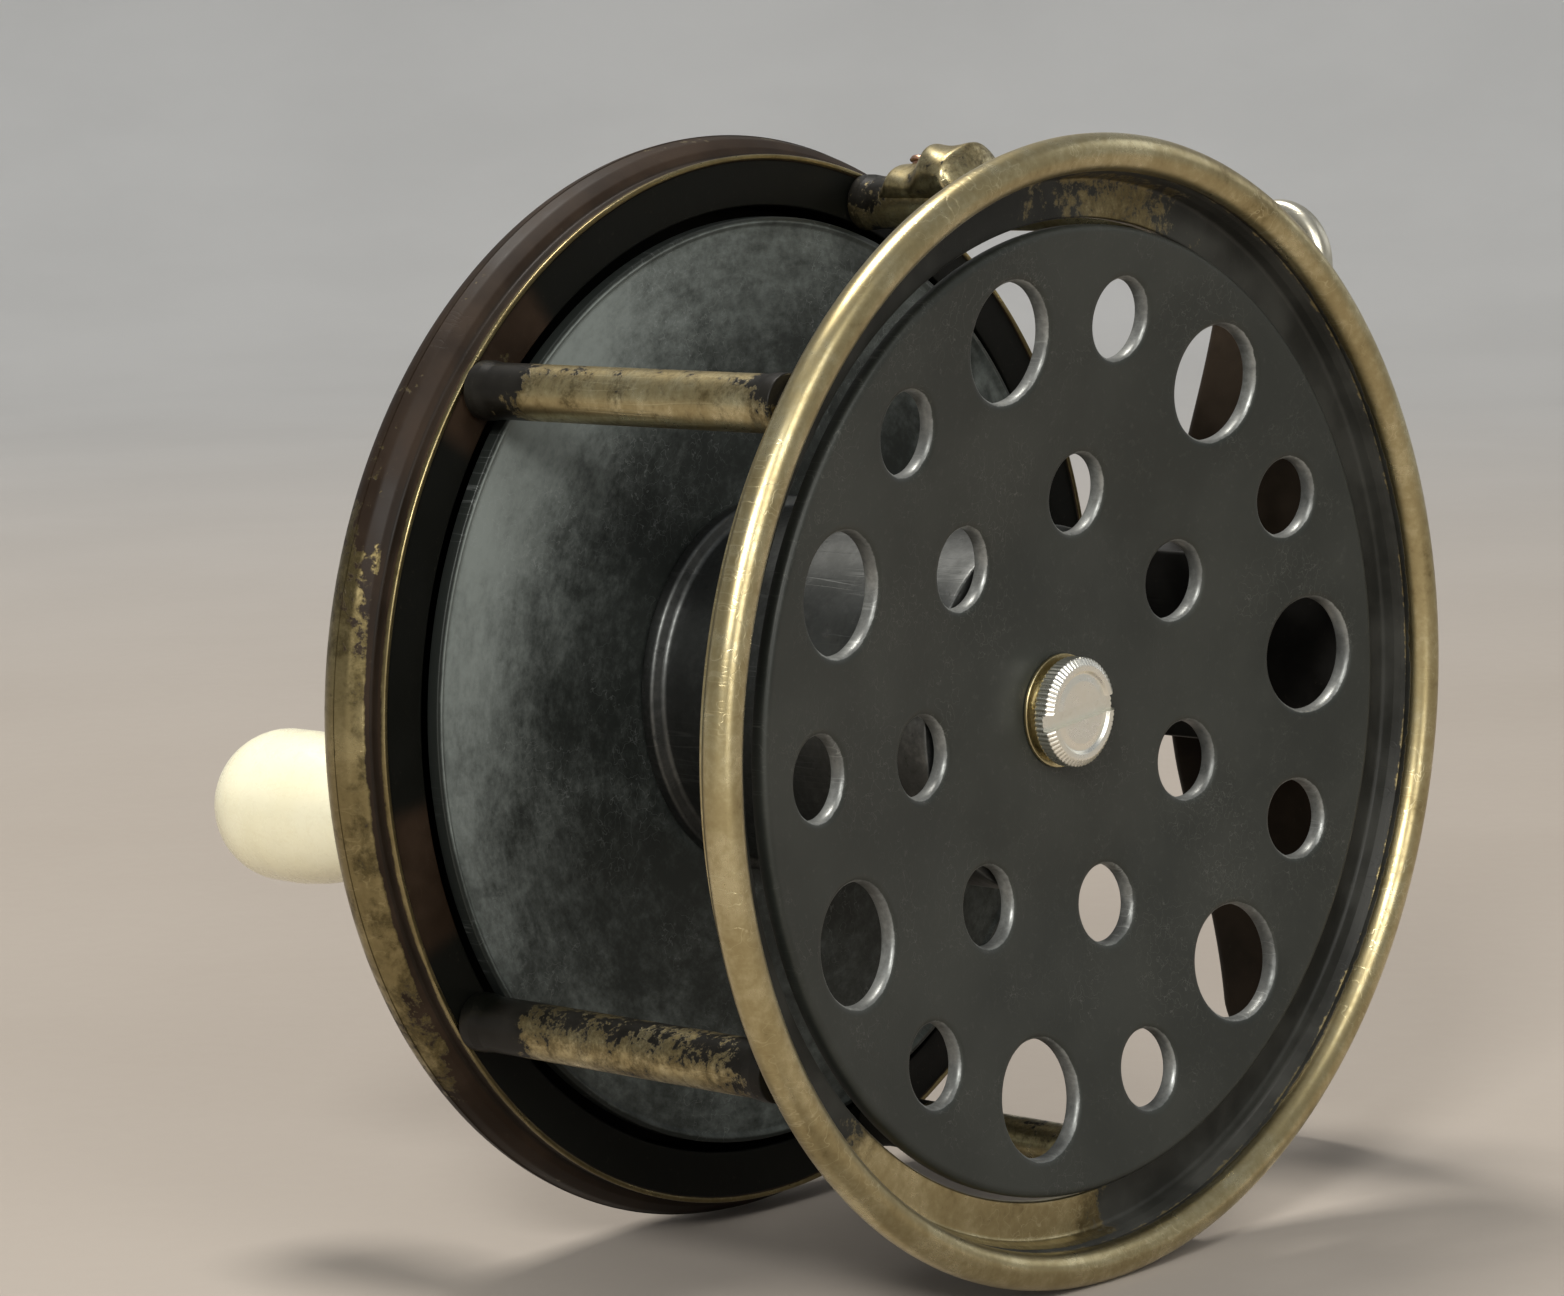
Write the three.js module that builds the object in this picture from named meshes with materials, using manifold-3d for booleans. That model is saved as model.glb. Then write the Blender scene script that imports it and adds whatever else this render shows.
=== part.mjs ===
// A plate-wind fly reel: an open frame of a beaded ring and a dished back plate joined by pillars,
// a perforated spool that turns in it, a click check, a handle on a winding plate, and a rod foot.
//
// Millimetres. The spindle runs along Y, the open perforated side faces -Y and the handle is on +Y.
// Z is up. Angles around the spindle start at +X and turn towards +Z.
import * as THREE from 'three';
import { mergeVertices } from 'three/addons/utils/BufferGeometryUtils.js';
import Module from 'manifold-3d';

const wasm = await Module();
wasm.setup();

// ---------------------------------------------------------------- driving dimensions

const RIM_RADIUS = 44.15; // outside of the front ring's bead
const BEAD_RADIUS = 1.45; // half the thickness of that bead
const BEAD_Y = -19.82;
const FRONT_OPENING = 37.7; // the openings that the spool's plates turn in
const BACK_OPENING = 38.4;
const GAP = 0.1; // between faces that lie against each other
const FRONT_LEDGE_Y = -17.3; // outer face of the front ring's ledge
const FRONT_BACK_Y = -16.4; // its inner face, where the pillars stand
const RING_EDGE = 41.9; // bright edge of the ring behind the bead
const RING_GROOVE = 41.6; // floor of the groove between them
const BACK_LEDGE_Y = 14.9; // inner face of the back plate's rim
const BACK_LIP = 0.2; // how far its bright edge stands out
const WEB_INNER_Y = 19.6; // floor of the back plate
const BACK_FACE_Y = 21.1; // outer face of the back plate
const BACK_RIM_RADIUS = 44;
const BACK_RIM_FILLET = 2.5;
const BACK_GROOVE = 42.35; // floor of the groove between its painted rim and its bright edge
const COUNTERSINK_RADIUS = 2.4; // screws in the back plate
const COUNTERSINK_DEPTH = 1.5;

const PILLAR_CIRCLE = 40.35;
const PILLAR_RADIUS = 2.15;
const PILLAR_COLLAR = 2.3;
const PILLAR_COLLAR_LENGTH = 1.2;
// About a fifth of a turn apart, with the foot in the fifth place at 0.
const PILLAR_ANGLES = { top: 71.5, left_upper: 140.9, left_lower: 214.3, bottom: 288.5 };
const TENON_RADIUS = 1.25; // tenons in blind holes of the front ring
const TENON_LENGTH = 0.5;
const TENON_HOLE = 1.4;
const SCREW_RADIUS = 1.1;
const SCREW_HOLE = 1.3;
const SCREW_REACH = 6; // depth of a screw's hole in a pillar or in the bridge

// The foot points along +X, towards the rod, and Z runs along the rod.
const FOOT_SEAT = 50.5; // distance from the spindle to the face that lies on the rod
const FOOT_HALF_LENGTH = 37.5;
const FOOT_TIP_HALF_WIDTH = 5.5;
const FOOT_SADDLE_HALF_WIDTH = 11;
const FOOT_THICKNESS = 3;
const FOOT_TIP_THICKNESS = 1.6;
const SADDLE_HALF_LENGTH = 12; // of its thick middle
const SADDLE_REACH = 14; // how far the saddle's curve runs along the foot
const NECK_REACH = 20; // where the narrow ends begin
const FOOT_SCREW_LENGTH = 8;
const FOOT_SCREW_HEAD = 2.4;
const FOOT_SCREW_HEAD_DEPTH = 1.4;
const BRIDGE_INNER = 39; // inner face of the bar
const BRIDGE_BAR = 3.6; // its thickness
const BRIDGE_HALF_WIDTH = 8;
const BRIDGE_PAD_HALF_WIDTH = 9;
const FOOT_SCREW_OFFSET = 5;
const BRIDGE_SCREW_OFFSET = 4.5;

const SPOOL_FRONT_RADIUS = 37.25;
const SPOOL_BACK_RADIUS = 37.5;
const SPOOL_PLATE = 1.4; // thickness of the perforated plate
const SPOOL_FLAT_Y = -15.6; // outer face of its flat middle
const SPOOL_BACK_Y = 14.35; // inner face of the solid plate
const SPOOL_BACK_PLATE = 1;
const CORE_RADIUS = 14.2;
const CORE_WALL = 1.5;
const CORE_COLLAR = 15.2;

const HOLE_COUNT = 7;
const LARGE_HOLE = { radius: 4.56, circle: 29.8, start: 157.2 };
const SMALL_HOLE = { radius: 3.1, circle: 30.3, start: 131.5 };
const INNER_HOLE = { radius: 3.06, circle: 16.7, start: 134.5 };

const SPINDLE_RADIUS = 2.5;
const SPINDLE_BORE = 2.65; // pieces that are fixed on the spindle
const BUSH_BORE = 2.6; // the bush that it turns in
const BUSH_OUTER = 4;
const BUSH_FLANGE = 6;
const BUSH_FLANGE_THICKNESS = 1.4;
const SPINDLE_FRONT_Y = -17.2;
const SPINDLE_TAP = 1.35; // the hole for the winding plate's screw
const SPINDLE_TAP_DEPTH = 7;
const NUT_RADIUS = 4.24;
const NUT_NECK = 3.4;
const NUT_FRONT_Y = -18.1;
const NUT_HEAD_Y = -16.5; // back of the knurled head
const NUT_WASHER_Y = -15.95; // front of the washer behind it
const NUT_SLOT = 1.6;
const NUT_SLOT_ANGLE = 7;

const RATCHET_TEETH = 24;
const RATCHET_TIP = 9;
const RATCHET_ROOT = 7.4;
const RATCHET_Y = 16.3;
const RATCHET_THICKNESS = 1.5;
const CLICK_ANGLE = 108; // on a gap between two teeth
const PAWL_PIVOT = 15.5; // distance of the pawl's pivot from the spindle
const PAWL_TIP = 6.7; // from the pivot to the nose
const PAWL_TAIL = 4.5;
const PAWL_Y = 16.5;
const PAWL_THICKNESS = 1.2;
const STUD_RADIUS = 1.2;
const STUD_BORE = 1.35;
const STUD_HEAD = 2;
const STUD_SHOULDER = 2.2;
const STUD_END = 1;
const SPRING_GAP = 0.35;
const SPRING_THICKNESS = 0.5;
const SPRING_EYE = -12; // sideways from the pawl's centre line

const WINDING_RADIUS = 37.5;
const WINDING_Y = 21.7;
const WINDING_THICKNESS = 1.5;
const SPINDLE_BACK_Y = WINDING_Y + WINDING_THICKNESS;
const WINDING_SCREW_LENGTH = 5;
const WINDING_SCREW_HEAD = 5;
const HANDLE_CIRCLE = 31.7;
const HANDLE_ANGLE = 195.6;
const HANDLE_PIN_RADIUS = 1.5;
const HANDLE_BORE = 1.6;
const KNOB_START_Y = 24.9;
const KNOB_END_Y = 44.55;
const KNOB_RADIUS = 6.1;
const KNOB_BELLY = 8.6; // from its end back to its widest place
const PIN_COLLAR_Y = SPINDLE_BACK_Y + GAP;
const PIN_COLLAR_RADIUS = 3;
const PIN_END_Y = 42.4;
const PIN_TAP = 0.85; // the hole for the handle's end screw
const END_SCREW_RADIUS = 0.7;
const END_SCREW_HEAD = 2.3;

// The line guide's stub on the top pillar.
const LUG_Y = 2;
const LUG_THICKNESS = 1;
const LUG_HUMP = 2.6;
const LUG_HOLE = 0.95;
const RIVET_RADIUS = 0.8;
const RIVET_Y = 9.3;

const COARSE = 40; // sides of the large turned pieces
const MEDIUM = 24;
const FINE = 12; // sides of the small ones

// ---------------------------------------------------------------- solids

// A closed geometry as a manifold solid, with its triangles facing out.
function solid(geometry) {
  const bare = geometry.clone();
  bare.deleteAttribute('normal');
  bare.deleteAttribute('uv');
  const merged = mergeVertices(bare, 1e-4);
  const points = merged.attributes.position.array;
  const corners = [];
  for (let i = 0; i < merged.index.count; i += 3) {
    const [a, b, c] = [0, 1, 2].map((k) => merged.index.getX(i + k));
    if (a !== b && b !== c && c !== a) corners.push(a, b, c);
  }
  if (signedVolume(points, corners) < 0) corners.reverse();
  return new wasm.Manifold(new wasm.Mesh({
    numProp: 3,
    vertProperties: new Float32Array(points),
    triVerts: new Uint32Array(corners),
  }));
}

function signedVolume(points, corners) {
  const [a, b, c] = [new THREE.Vector3(), new THREE.Vector3(), new THREE.Vector3()];
  let volume = 0;
  for (let i = 0; i < corners.length; i += 3) {
    a.fromArray(points, 3 * corners[i]);
    b.fromArray(points, 3 * corners[i + 1]);
    c.fromArray(points, 3 * corners[i + 2]);
    volume += a.dot(b.cross(c)) / 6;
  }
  return volume;
}

function geometryOf(manifold) {
  const mesh = manifold.getMesh();
  const geometry = new THREE.BufferGeometry();
  geometry.setAttribute('position', new THREE.BufferAttribute(mesh.vertProperties, 3));
  geometry.setIndex(new THREE.BufferAttribute(mesh.triVerts, 1));
  return geometry;
}

// A turned piece about Y. The profile is a list of [radius, y] points that runs round the section once,
// and closes on itself.
function turned(profile, sides = FINE) {
  const points = [...profile, profile[0]].map(([radius, y]) => new THREE.Vector2(radius, y));
  return solid(new THREE.LatheGeometry(points, sides));
}

// Points on an arc of a turned profile, in degrees from the outward direction towards +Y.
function arc(centreRadius, centreY, radius, from, to, steps) {
  const points = [];
  for (let i = 0; i <= steps; i++) {
    const angle = THREE.MathUtils.degToRad(from + ((to - from) * i) / steps);
    points.push([centreRadius + radius * Math.cos(angle), centreY + radius * Math.sin(angle)]);
  }
  return points;
}

function rod(radius, fromY, toY, sides = FINE) {
  const geometry = new THREE.CylinderGeometry(radius, radius, toY - fromY, sides);
  geometry.translate(0, (fromY + toY) / 2, 0);
  return solid(geometry);
}

function block(x, y, z) {
  const geometry = new THREE.BoxGeometry(x[1] - x[0], y[1] - y[0], z[1] - z[0]);
  geometry.translate((x[0] + x[1]) / 2, (y[0] + y[1]) / 2, (z[0] + z[1]) / 2);
  return solid(geometry);
}

// An outline in X and Z, made thick along Y.
function plate(shape, fromY, toY, curveSegments = 6) {
  const geometry = new THREE.ExtrudeGeometry(shape, {
    depth: toY - fromY, bevelEnabled: false, curveSegments,
  });
  geometry.rotateX(Math.PI / 2);
  geometry.translate(0, toY, 0);
  return solid(geometry);
}

// A place on a circle around the spindle.
function around(radius, degrees) {
  const angle = THREE.MathUtils.degToRad(degrees);
  return [radius * Math.cos(angle), 0, radius * Math.sin(angle)];
}

function cutAll(body, tools) {
  return tools.reduce((rest, tool) => rest.subtract(tool), body);
}

// A copy of one tool at each angle of a circle.
function ringOf(tool, radius, angles) {
  return angles.map((angle) => tool.translate(around(radius, angle)));
}

// ---------------------------------------------------------------- scene

const reel = new THREE.Group();

const finishes = {
  brass: { color: '#a8925a', roughness: 0.4, metalness: 0.9 },
  paint: { color: '#23211d', roughness: 0.35, metalness: 0.3 },
  dark_alloy: { color: '#3c3c38', roughness: 0.55, metalness: 0.5 },
  grey_alloy: { color: '#8d8d86', roughness: 0.7, metalness: 0.5 },
  nickel: { color: '#c9c2a6', roughness: 0.3, metalness: 0.95 },
  steel: { color: '#9a9c9e', roughness: 0.35, metalness: 0.95 },
  bronze: { color: '#8c6a3c', roughness: 0.45, metalness: 0.9 },
  copper: { color: '#b87c5c', roughness: 0.4, metalness: 0.9 },
  ivory: { color: '#efe6bf', roughness: 0.3, metalness: 0 },
};

function add(name, body, finish, parent = reel) {
  const mesh = new THREE.Mesh(geometryOf(body), new THREE.MeshStandardMaterial(finishes[finish]));
  mesh.name = name;
  parent.add(mesh);
  return mesh;
}

// ---------------------------------------------------------------- frame

const pillarAngles = Object.values(PILLAR_ANGLES);
const bridgeHoleAngles = [-1, 1].map(
  (side) => THREE.MathUtils.radToDeg((side * BRIDGE_SCREW_OFFSET) / PILLAR_CIRCLE),
);

function frontRing() {
  const beadCentre = RIM_RADIUS - BEAD_RADIUS;
  const profile = [
    [FRONT_OPENING, FRONT_BACK_Y],
    [RING_EDGE - 0.5, FRONT_BACK_Y],
    [RING_EDGE, FRONT_BACK_Y - 0.45],
    [RING_EDGE, FRONT_BACK_Y - 1],
    [RING_GROOVE, FRONT_BACK_Y - 1.3],
    [RING_GROOVE, FRONT_BACK_Y - 1.9],
    ...arc(beadCentre, BEAD_Y, BEAD_RADIUS, 117, -180, 8),
    [beadCentre - BEAD_RADIUS - 0.5, FRONT_LEDGE_Y],
    [FRONT_OPENING, FRONT_LEDGE_Y],
  ];
  const hole = rod(TENON_HOLE, FRONT_BACK_Y - TENON_LENGTH - GAP, FRONT_BACK_Y + 1);
  return cutAll(turned(profile, COARSE), [
    ...ringOf(hole, PILLAR_CIRCLE, pillarAngles),
    ...ringOf(hole, PILLAR_CIRCLE, bridgeHoleAngles),
  ]);
}

function countersink(growth) {
  const geometry = new THREE.CylinderGeometry(
    COUNTERSINK_RADIUS + growth, SCREW_RADIUS + growth, COUNTERSINK_DEPTH, FINE,
  );
  geometry.translate(0, BACK_FACE_Y - COUNTERSINK_DEPTH / 2, 0);
  return solid(geometry);
}

function backPlate() {
  const filletCentre = BACK_RIM_RADIUS - BACK_RIM_FILLET;
  const filletY = BACK_FACE_Y - BACK_RIM_FILLET;
  const profile = [
    [BACK_OPENING, BACK_LEDGE_Y],
    [42, BACK_LEDGE_Y],
    [42.2, BACK_LEDGE_Y - BACK_LIP],
    [42.5, BACK_LEDGE_Y - BACK_LIP],
    [BACK_GROOVE, BACK_LEDGE_Y + 0.7],
    [BACK_GROOVE, BACK_LEDGE_Y + 1.4],
    [43, BACK_LEDGE_Y + 1.9],
    [43.7, BACK_LEDGE_Y + 2.7],
    ...arc(filletCentre, filletY, BACK_RIM_FILLET, 0, 90, 3),
    [BUSH_OUTER + GAP, BACK_FACE_Y],
    [BUSH_OUTER + GAP, WEB_INNER_Y],
    [BACK_OPENING, WEB_INNER_Y],
  ];
  const screwHole = rod(SCREW_HOLE, BACK_LEDGE_Y - 1, BACK_FACE_Y + 1);
  const screwSeat = screwHole.add(countersink(0.2)).add(
    rod(COUNTERSINK_RADIUS + 0.2, BACK_FACE_Y - 0.05, BACK_FACE_Y + 1),
  );
  const studHole = rod(STUD_END + 0.15, WEB_INNER_Y - 1, BACK_FACE_Y + 1);
  return cutAll(turned(profile, COARSE), [
    ...ringOf(screwSeat, PILLAR_CIRCLE, pillarAngles),
    ...ringOf(screwSeat, PILLAR_CIRCLE, bridgeHoleAngles),
    studHole.translate(clickPoint(PAWL_PIVOT, 0)),
    studHole.translate(clickPoint(springRadius(), SPRING_EYE)),
  ]);
}

function pillar() {
  const [front, back] = [FRONT_BACK_Y + GAP, BACK_LEDGE_Y - BACK_LIP - GAP];
  const body = turned([
    [0, FRONT_BACK_Y - TENON_LENGTH],
    [TENON_RADIUS, FRONT_BACK_Y - TENON_LENGTH],
    [TENON_RADIUS, front],
    [PILLAR_COLLAR, front],
    [PILLAR_COLLAR, front + PILLAR_COLLAR_LENGTH],
    [PILLAR_RADIUS, front + PILLAR_COLLAR_LENGTH + 0.3],
    [PILLAR_RADIUS, back - PILLAR_COLLAR_LENGTH - 0.3],
    [PILLAR_COLLAR, back - PILLAR_COLLAR_LENGTH],
    [PILLAR_COLLAR, back],
    [0, back],
  ]);
  return body.subtract(rod(SCREW_HOLE, back - SCREW_REACH, back + 1));
}

// A countersunk screw in the back plate, with its slot.
function backScrew() {
  const shank = rod(SCREW_RADIUS, BACK_LEDGE_Y + 1 - SCREW_REACH, BACK_FACE_Y - COUNTERSINK_DEPTH / 2);
  const slot = block([-4, 4], [BACK_FACE_Y - 0.6, BACK_FACE_Y + 1], [-0.3, 0.3]);
  return shank.add(countersink(0)).subtract(slot);
}

add('front_ring', frontRing(), 'brass');

// ---------------------------------------------------------------- bush, click check

function clickPoint(outwards, sideways) {
  const along = new THREE.Vector3(outwards, 0, sideways);
  along.applyAxisAngle(new THREE.Vector3(0, 1, 0), -THREE.MathUtils.degToRad(CLICK_ANGLE));
  return along.toArray();
}

function springRadius() {
  return PAWL_PIVOT + PAWL_TAIL + SPRING_GAP + SPRING_THICKNESS / 2;
}

// A headed stud riveted into the floor of the back plate.
function stud() {
  const head = PAWL_Y - 0.75;
  return turned([
    [0, head],
    [STUD_HEAD, head],
    [STUD_HEAD, head + 0.55],
    [STUD_RADIUS, head + 0.55],
    [STUD_RADIUS, PAWL_Y + PAWL_THICKNESS + 0.2],
    [STUD_SHOULDER, PAWL_Y + PAWL_THICKNESS + 0.2],
    [STUD_SHOULDER, WEB_INNER_Y - GAP],
    [STUD_END, WEB_INNER_Y - GAP],
    [STUD_END, BACK_FACE_Y - 0.05],
    [0, BACK_FACE_Y - 0.05],
  ]);
}

function bearingBush() {
  return turned([
    [BUSH_BORE, WEB_INNER_Y - BUSH_FLANGE_THICKNESS],
    [BUSH_FLANGE, WEB_INNER_Y - BUSH_FLANGE_THICKNESS],
    [BUSH_FLANGE, WEB_INNER_Y - GAP],
    [BUSH_OUTER, WEB_INNER_Y - GAP],
    [BUSH_OUTER, BACK_FACE_Y],
    [BUSH_BORE, BACK_FACE_Y],
  ], MEDIUM);
}

function ratchet() {
  const pitch = 360 / RATCHET_TEETH;
  const shape = new THREE.Shape();
  for (let i = 0; i < RATCHET_TEETH; i++) {
    const [tipX, , tipZ] = around(RATCHET_TIP, CLICK_ANGLE + (i + 0.5) * pitch);
    const [rootX, , rootZ] = around(RATCHET_ROOT, CLICK_ANGLE + (i + 1) * pitch);
    if (i === 0) shape.moveTo(tipX, tipZ);
    else shape.lineTo(tipX, tipZ);
    shape.lineTo(rootX, rootZ);
  }
  const hub = rod(6, SPOOL_BACK_Y + SPOOL_BACK_PLATE + GAP, RATCHET_Y + 0.5, MEDIUM);
  const bore = rod(SPINDLE_BORE, 0, BACK_FACE_Y, MEDIUM);
  return plate(shape, RATCHET_Y, RATCHET_Y + RATCHET_THICKNESS).add(hub).subtract(bore);
}

// The pawl lies along +X from the spindle in its own group, nose inwards and flat tail outwards.
function pawl() {
  const nose = PAWL_PIVOT - PAWL_TIP;
  const shape = new THREE.Shape();
  shape.moveTo(nose, -0.3);
  shape.lineTo(PAWL_PIVOT - 1, -2.3);
  shape.quadraticCurveTo(PAWL_PIVOT + 2, -2.9, PAWL_PIVOT + PAWL_TAIL, -1.6);
  shape.lineTo(PAWL_PIVOT + PAWL_TAIL, 1.6);
  shape.quadraticCurveTo(PAWL_PIVOT + 2, 2.9, PAWL_PIVOT - 1, 2.3);
  shape.lineTo(nose, 0.3);
  const bore = rod(STUD_BORE, PAWL_Y - 1, PAWL_Y + PAWL_THICKNESS + 1).translate([PAWL_PIVOT, 0, 0]);
  return plate(shape, PAWL_Y, PAWL_Y + PAWL_THICKNESS).subtract(bore);
}

// A leaf with an eye at one end, pressing on the pawl's flat tail.
function clickSpring() {
  const middle = springRadius();
  const half = SPRING_THICKNESS / 2;
  const leaf = block([middle - half, middle + half], [PAWL_Y, PAWL_Y + PAWL_THICKNESS], [SPRING_EYE, 3]);
  const eye = rod(2.1, PAWL_Y, PAWL_Y + PAWL_THICKNESS).translate([middle, 0, SPRING_EYE]);
  const bore = rod(STUD_BORE, PAWL_Y - 1, PAWL_Y + PAWL_THICKNESS + 1).translate([middle, 0, SPRING_EYE]);
  return leaf.add(eye).subtract(bore);
}

const click = new THREE.Group();
click.rotation.y = -THREE.MathUtils.degToRad(CLICK_ANGLE);
reel.add(click);

add('back_plate', backPlate(), 'paint');
add('bearing_bush', bearingBush(), 'bronze');
add('click_pawl', pawl(), 'steel', click);
add('click_spring', clickSpring(), 'steel', click);
add('pawl_stud', stud(), 'steel', click).position.x = PAWL_PIVOT;
add('spring_screw', stud(), 'steel', click).position.set(springRadius(), 0, SPRING_EYE);

for (const [place, angle] of Object.entries(PILLAR_ANGLES)) {
  add(`pillar_${place}`, pillar(), 'brass').position.fromArray(around(PILLAR_CIRCLE, angle));
  add(`pillar_screw_${place}`, backScrew(), 'brass').position.fromArray(around(PILLAR_CIRCLE, angle));
}

// ---------------------------------------------------------------- line guide stub on the top pillar

// A sleeve over the outer half of the pillar, with a hump at its front end.
function guideLug() {
  const seat = PILLAR_RADIUS + GAP;
  const sleeve = turned([
    [seat, LUG_Y],
    [seat + LUG_HUMP - 0.8, LUG_Y + 0.2],
    [seat + LUG_HUMP, LUG_Y + 1.2],
    [seat + LUG_HUMP, LUG_Y + 4.4],
    [seat + LUG_THICKNESS, LUG_Y + 5.8],
    [seat + LUG_THICKNESS, RIVET_Y + 1.6],
    [seat, RIVET_Y + 1.9],
  ]);
  const innerHalf = block([-6, 0.6], [0, 20], [-6, 6]);
  return sleeve.subtract(innerHalf).subtract(radial(rod(LUG_HOLE, 0, 6), RIVET_Y));
}

// Turns a piece that stands along +Y so that it points along +X, at a height along the spindle.
function radial(body, y) {
  return body.rotate([0, 0, -90]).translate([0, y, 0]);
}

function guideRivet() {
  const seat = PILLAR_RADIUS + 0.4;
  const head = PILLAR_RADIUS + LUG_THICKNESS + 2 * GAP;
  return radial(turned([
    [0, seat],
    [RIVET_RADIUS, seat],
    [RIVET_RADIUS, head],
    [RIVET_RADIUS + 0.3, head],
    [RIVET_RADIUS + 0.1, head + 0.5],
    [0, head + 0.7],
  ]), RIVET_Y);
}

const guide = new THREE.Group();
guide.rotation.y = -THREE.MathUtils.degToRad(PILLAR_ANGLES.top);
reel.add(guide);
add('line_guide_lug', guideLug(), 'brass', guide).position.x = PILLAR_CIRCLE;
add('line_guide_rivet', guideRivet(), 'copper', guide).position.x = PILLAR_CIRCLE;

// ---------------------------------------------------------------- foot

// Round narrow ends that widen in a curve into the saddle.
function footOutline() {
  const tipCentre = FOOT_HALF_LENGTH - FOOT_TIP_HALF_WIDTH;
  const outline = new THREE.Shape();
  for (const side of [-1, 1]) {
    const [tip, saddle] = [side * FOOT_TIP_HALF_WIDTH, side * FOOT_SADDLE_HALF_WIDTH];
    const neck = tip + side;
    const start = side < 0 ? 0 : Math.PI;
    outline.absarc(0, -side * tipCentre, FOOT_TIP_HALF_WIDTH, start, start + Math.PI, false);
    outline.bezierCurveTo(neck, -side * NECK_REACH, saddle, -side * SADDLE_REACH, saddle, 0);
    outline.bezierCurveTo(saddle, side * SADDLE_REACH, neck, side * NECK_REACH, tip, side * tipCentre);
  }
  return outline;
}

function foot() {
  const inner = FOOT_SEAT - FOOT_THICKNESS;
  const side = new THREE.Shape();
  side.moveTo(FOOT_SEAT, -FOOT_HALF_LENGTH);
  side.lineTo(FOOT_SEAT, FOOT_HALF_LENGTH);
  side.lineTo(FOOT_SEAT - FOOT_TIP_THICKNESS, FOOT_HALF_LENGTH);
  side.lineTo(inner, SADDLE_HALF_LENGTH);
  side.lineTo(inner, -SADDLE_HALF_LENGTH);
  side.lineTo(FOOT_SEAT - FOOT_TIP_THICKNESS, -FOOT_HALF_LENGTH);
  const width = FOOT_SADDLE_HALF_WIDTH + 1;
  const blade = plate(side, -width, width);

  const trim = plate(footOutline(), inner - 1, FOOT_SEAT + 1, 8).rotate([0, 0, -90]);
  return cutAll(blade.intersect(trim), footScrewHoles());
}

// A countersunk screw along +X with its head at the seat. Growth makes the hole for it.
function footScrewShape(growth, top) {
  return turned([
    [0, FOOT_SEAT - FOOT_SCREW_LENGTH - growth],
    [SCREW_RADIUS + growth, FOOT_SEAT - FOOT_SCREW_LENGTH - growth],
    [SCREW_RADIUS + growth, FOOT_SEAT - FOOT_SCREW_HEAD_DEPTH],
    [FOOT_SCREW_HEAD + growth, FOOT_SEAT - 0.4],
    [FOOT_SCREW_HEAD + growth, top],
    [0, top],
  ]).rotate([0, 0, -90]);
}

function footScrewHoles() {
  const hole = footScrewShape(0.15, FOOT_SEAT + 1);
  return [-1, 1].map((end) => hole.translate([0, 0, end * FOOT_SCREW_OFFSET]));
}

function footScrew() {
  const slot = block([FOOT_SEAT - 0.7, FOOT_SEAT + 1], [-0.3, 0.3], [-4, 4]);
  return footScrewShape(0, FOOT_SEAT - 0.1).subtract(slot);
}

function footBridge() {
  const [front, back] = [FRONT_BACK_Y + GAP, BACK_LEDGE_Y - BACK_LIP - GAP];
  const padTop = FOOT_SEAT - FOOT_THICKNESS - GAP;
  const width = [-BRIDGE_HALF_WIDTH, BRIDGE_HALF_WIDTH];
  const bar = block([BRIDGE_INNER, BRIDGE_INNER + BRIDGE_BAR], [front, back], width);
  const padWidth = [-BRIDGE_PAD_HALF_WIDTH, BRIDGE_PAD_HALF_WIDTH];
  const pad = block([BRIDGE_INNER + BRIDGE_BAR / 2, padTop], padWidth, width);
  const tenon = rod(TENON_RADIUS, FRONT_BACK_Y - TENON_LENGTH, front + 1);
  const screwHole = rod(SCREW_HOLE, back - SCREW_REACH, back + 1);
  const spots = bridgeHoleAngles.map((angle) => around(PILLAR_CIRCLE, angle));
  const tenons = spots.reduce((rest, spot) => rest.add(tenon.translate(spot)), bar.add(pad));
  return cutAll(tenons, [...footScrewHoles(), ...spots.map((spot) => screwHole.translate(spot))]);
}

add('foot_bridge', footBridge(), 'paint');
add('foot', foot(), 'nickel');
for (const [i, place] of ['lower', 'upper'].entries()) {
  const side = 2 * i - 1;
  add(`foot_screw_${place}`, footScrew(), 'steel').position.z = side * FOOT_SCREW_OFFSET;
  const spot = around(PILLAR_CIRCLE, bridgeHoleAngles[i]);
  add(`bridge_screw_${place}`, backScrew(), 'brass').position.fromArray(spot);
}

// ---------------------------------------------------------------- spool

function spoolFrontPlate() {
  const outer = [
    [SPINDLE_BORE, SPOOL_FLAT_Y],
    [14.6, SPOOL_FLAT_Y],
    [22, SPOOL_FLAT_Y - 1],
    [36.4, SPOOL_FLAT_Y - 3.1],
    [36.9, SPOOL_FLAT_Y - 3.2],
  ];
  const rim = [
    [SPOOL_FRONT_RADIUS, SPOOL_FLAT_Y - 3],
    [SPOOL_FRONT_RADIUS, SPOOL_FLAT_Y - 1.5],
  ];
  const inner = outer.slice(0, 4).reverse().map(([radius, y]) => [radius, y + SPOOL_PLATE]);
  const blank = turned([...outer, ...rim, ...inner], COARSE);
  const turns = Array.from({ length: HOLE_COUNT }, (_, i) => (i * 360) / HOLE_COUNT);
  const holes = [LARGE_HOLE, SMALL_HOLE, INNER_HOLE].flatMap(({ radius, circle, start }) => {
    const drill = rod(radius, SPOOL_FLAT_Y - 6, SPOOL_FLAT_Y + 4);
    return ringOf(drill, circle, turns.map((turn) => start - turn));
  });
  return cutAll(blank, holes);
}

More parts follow.
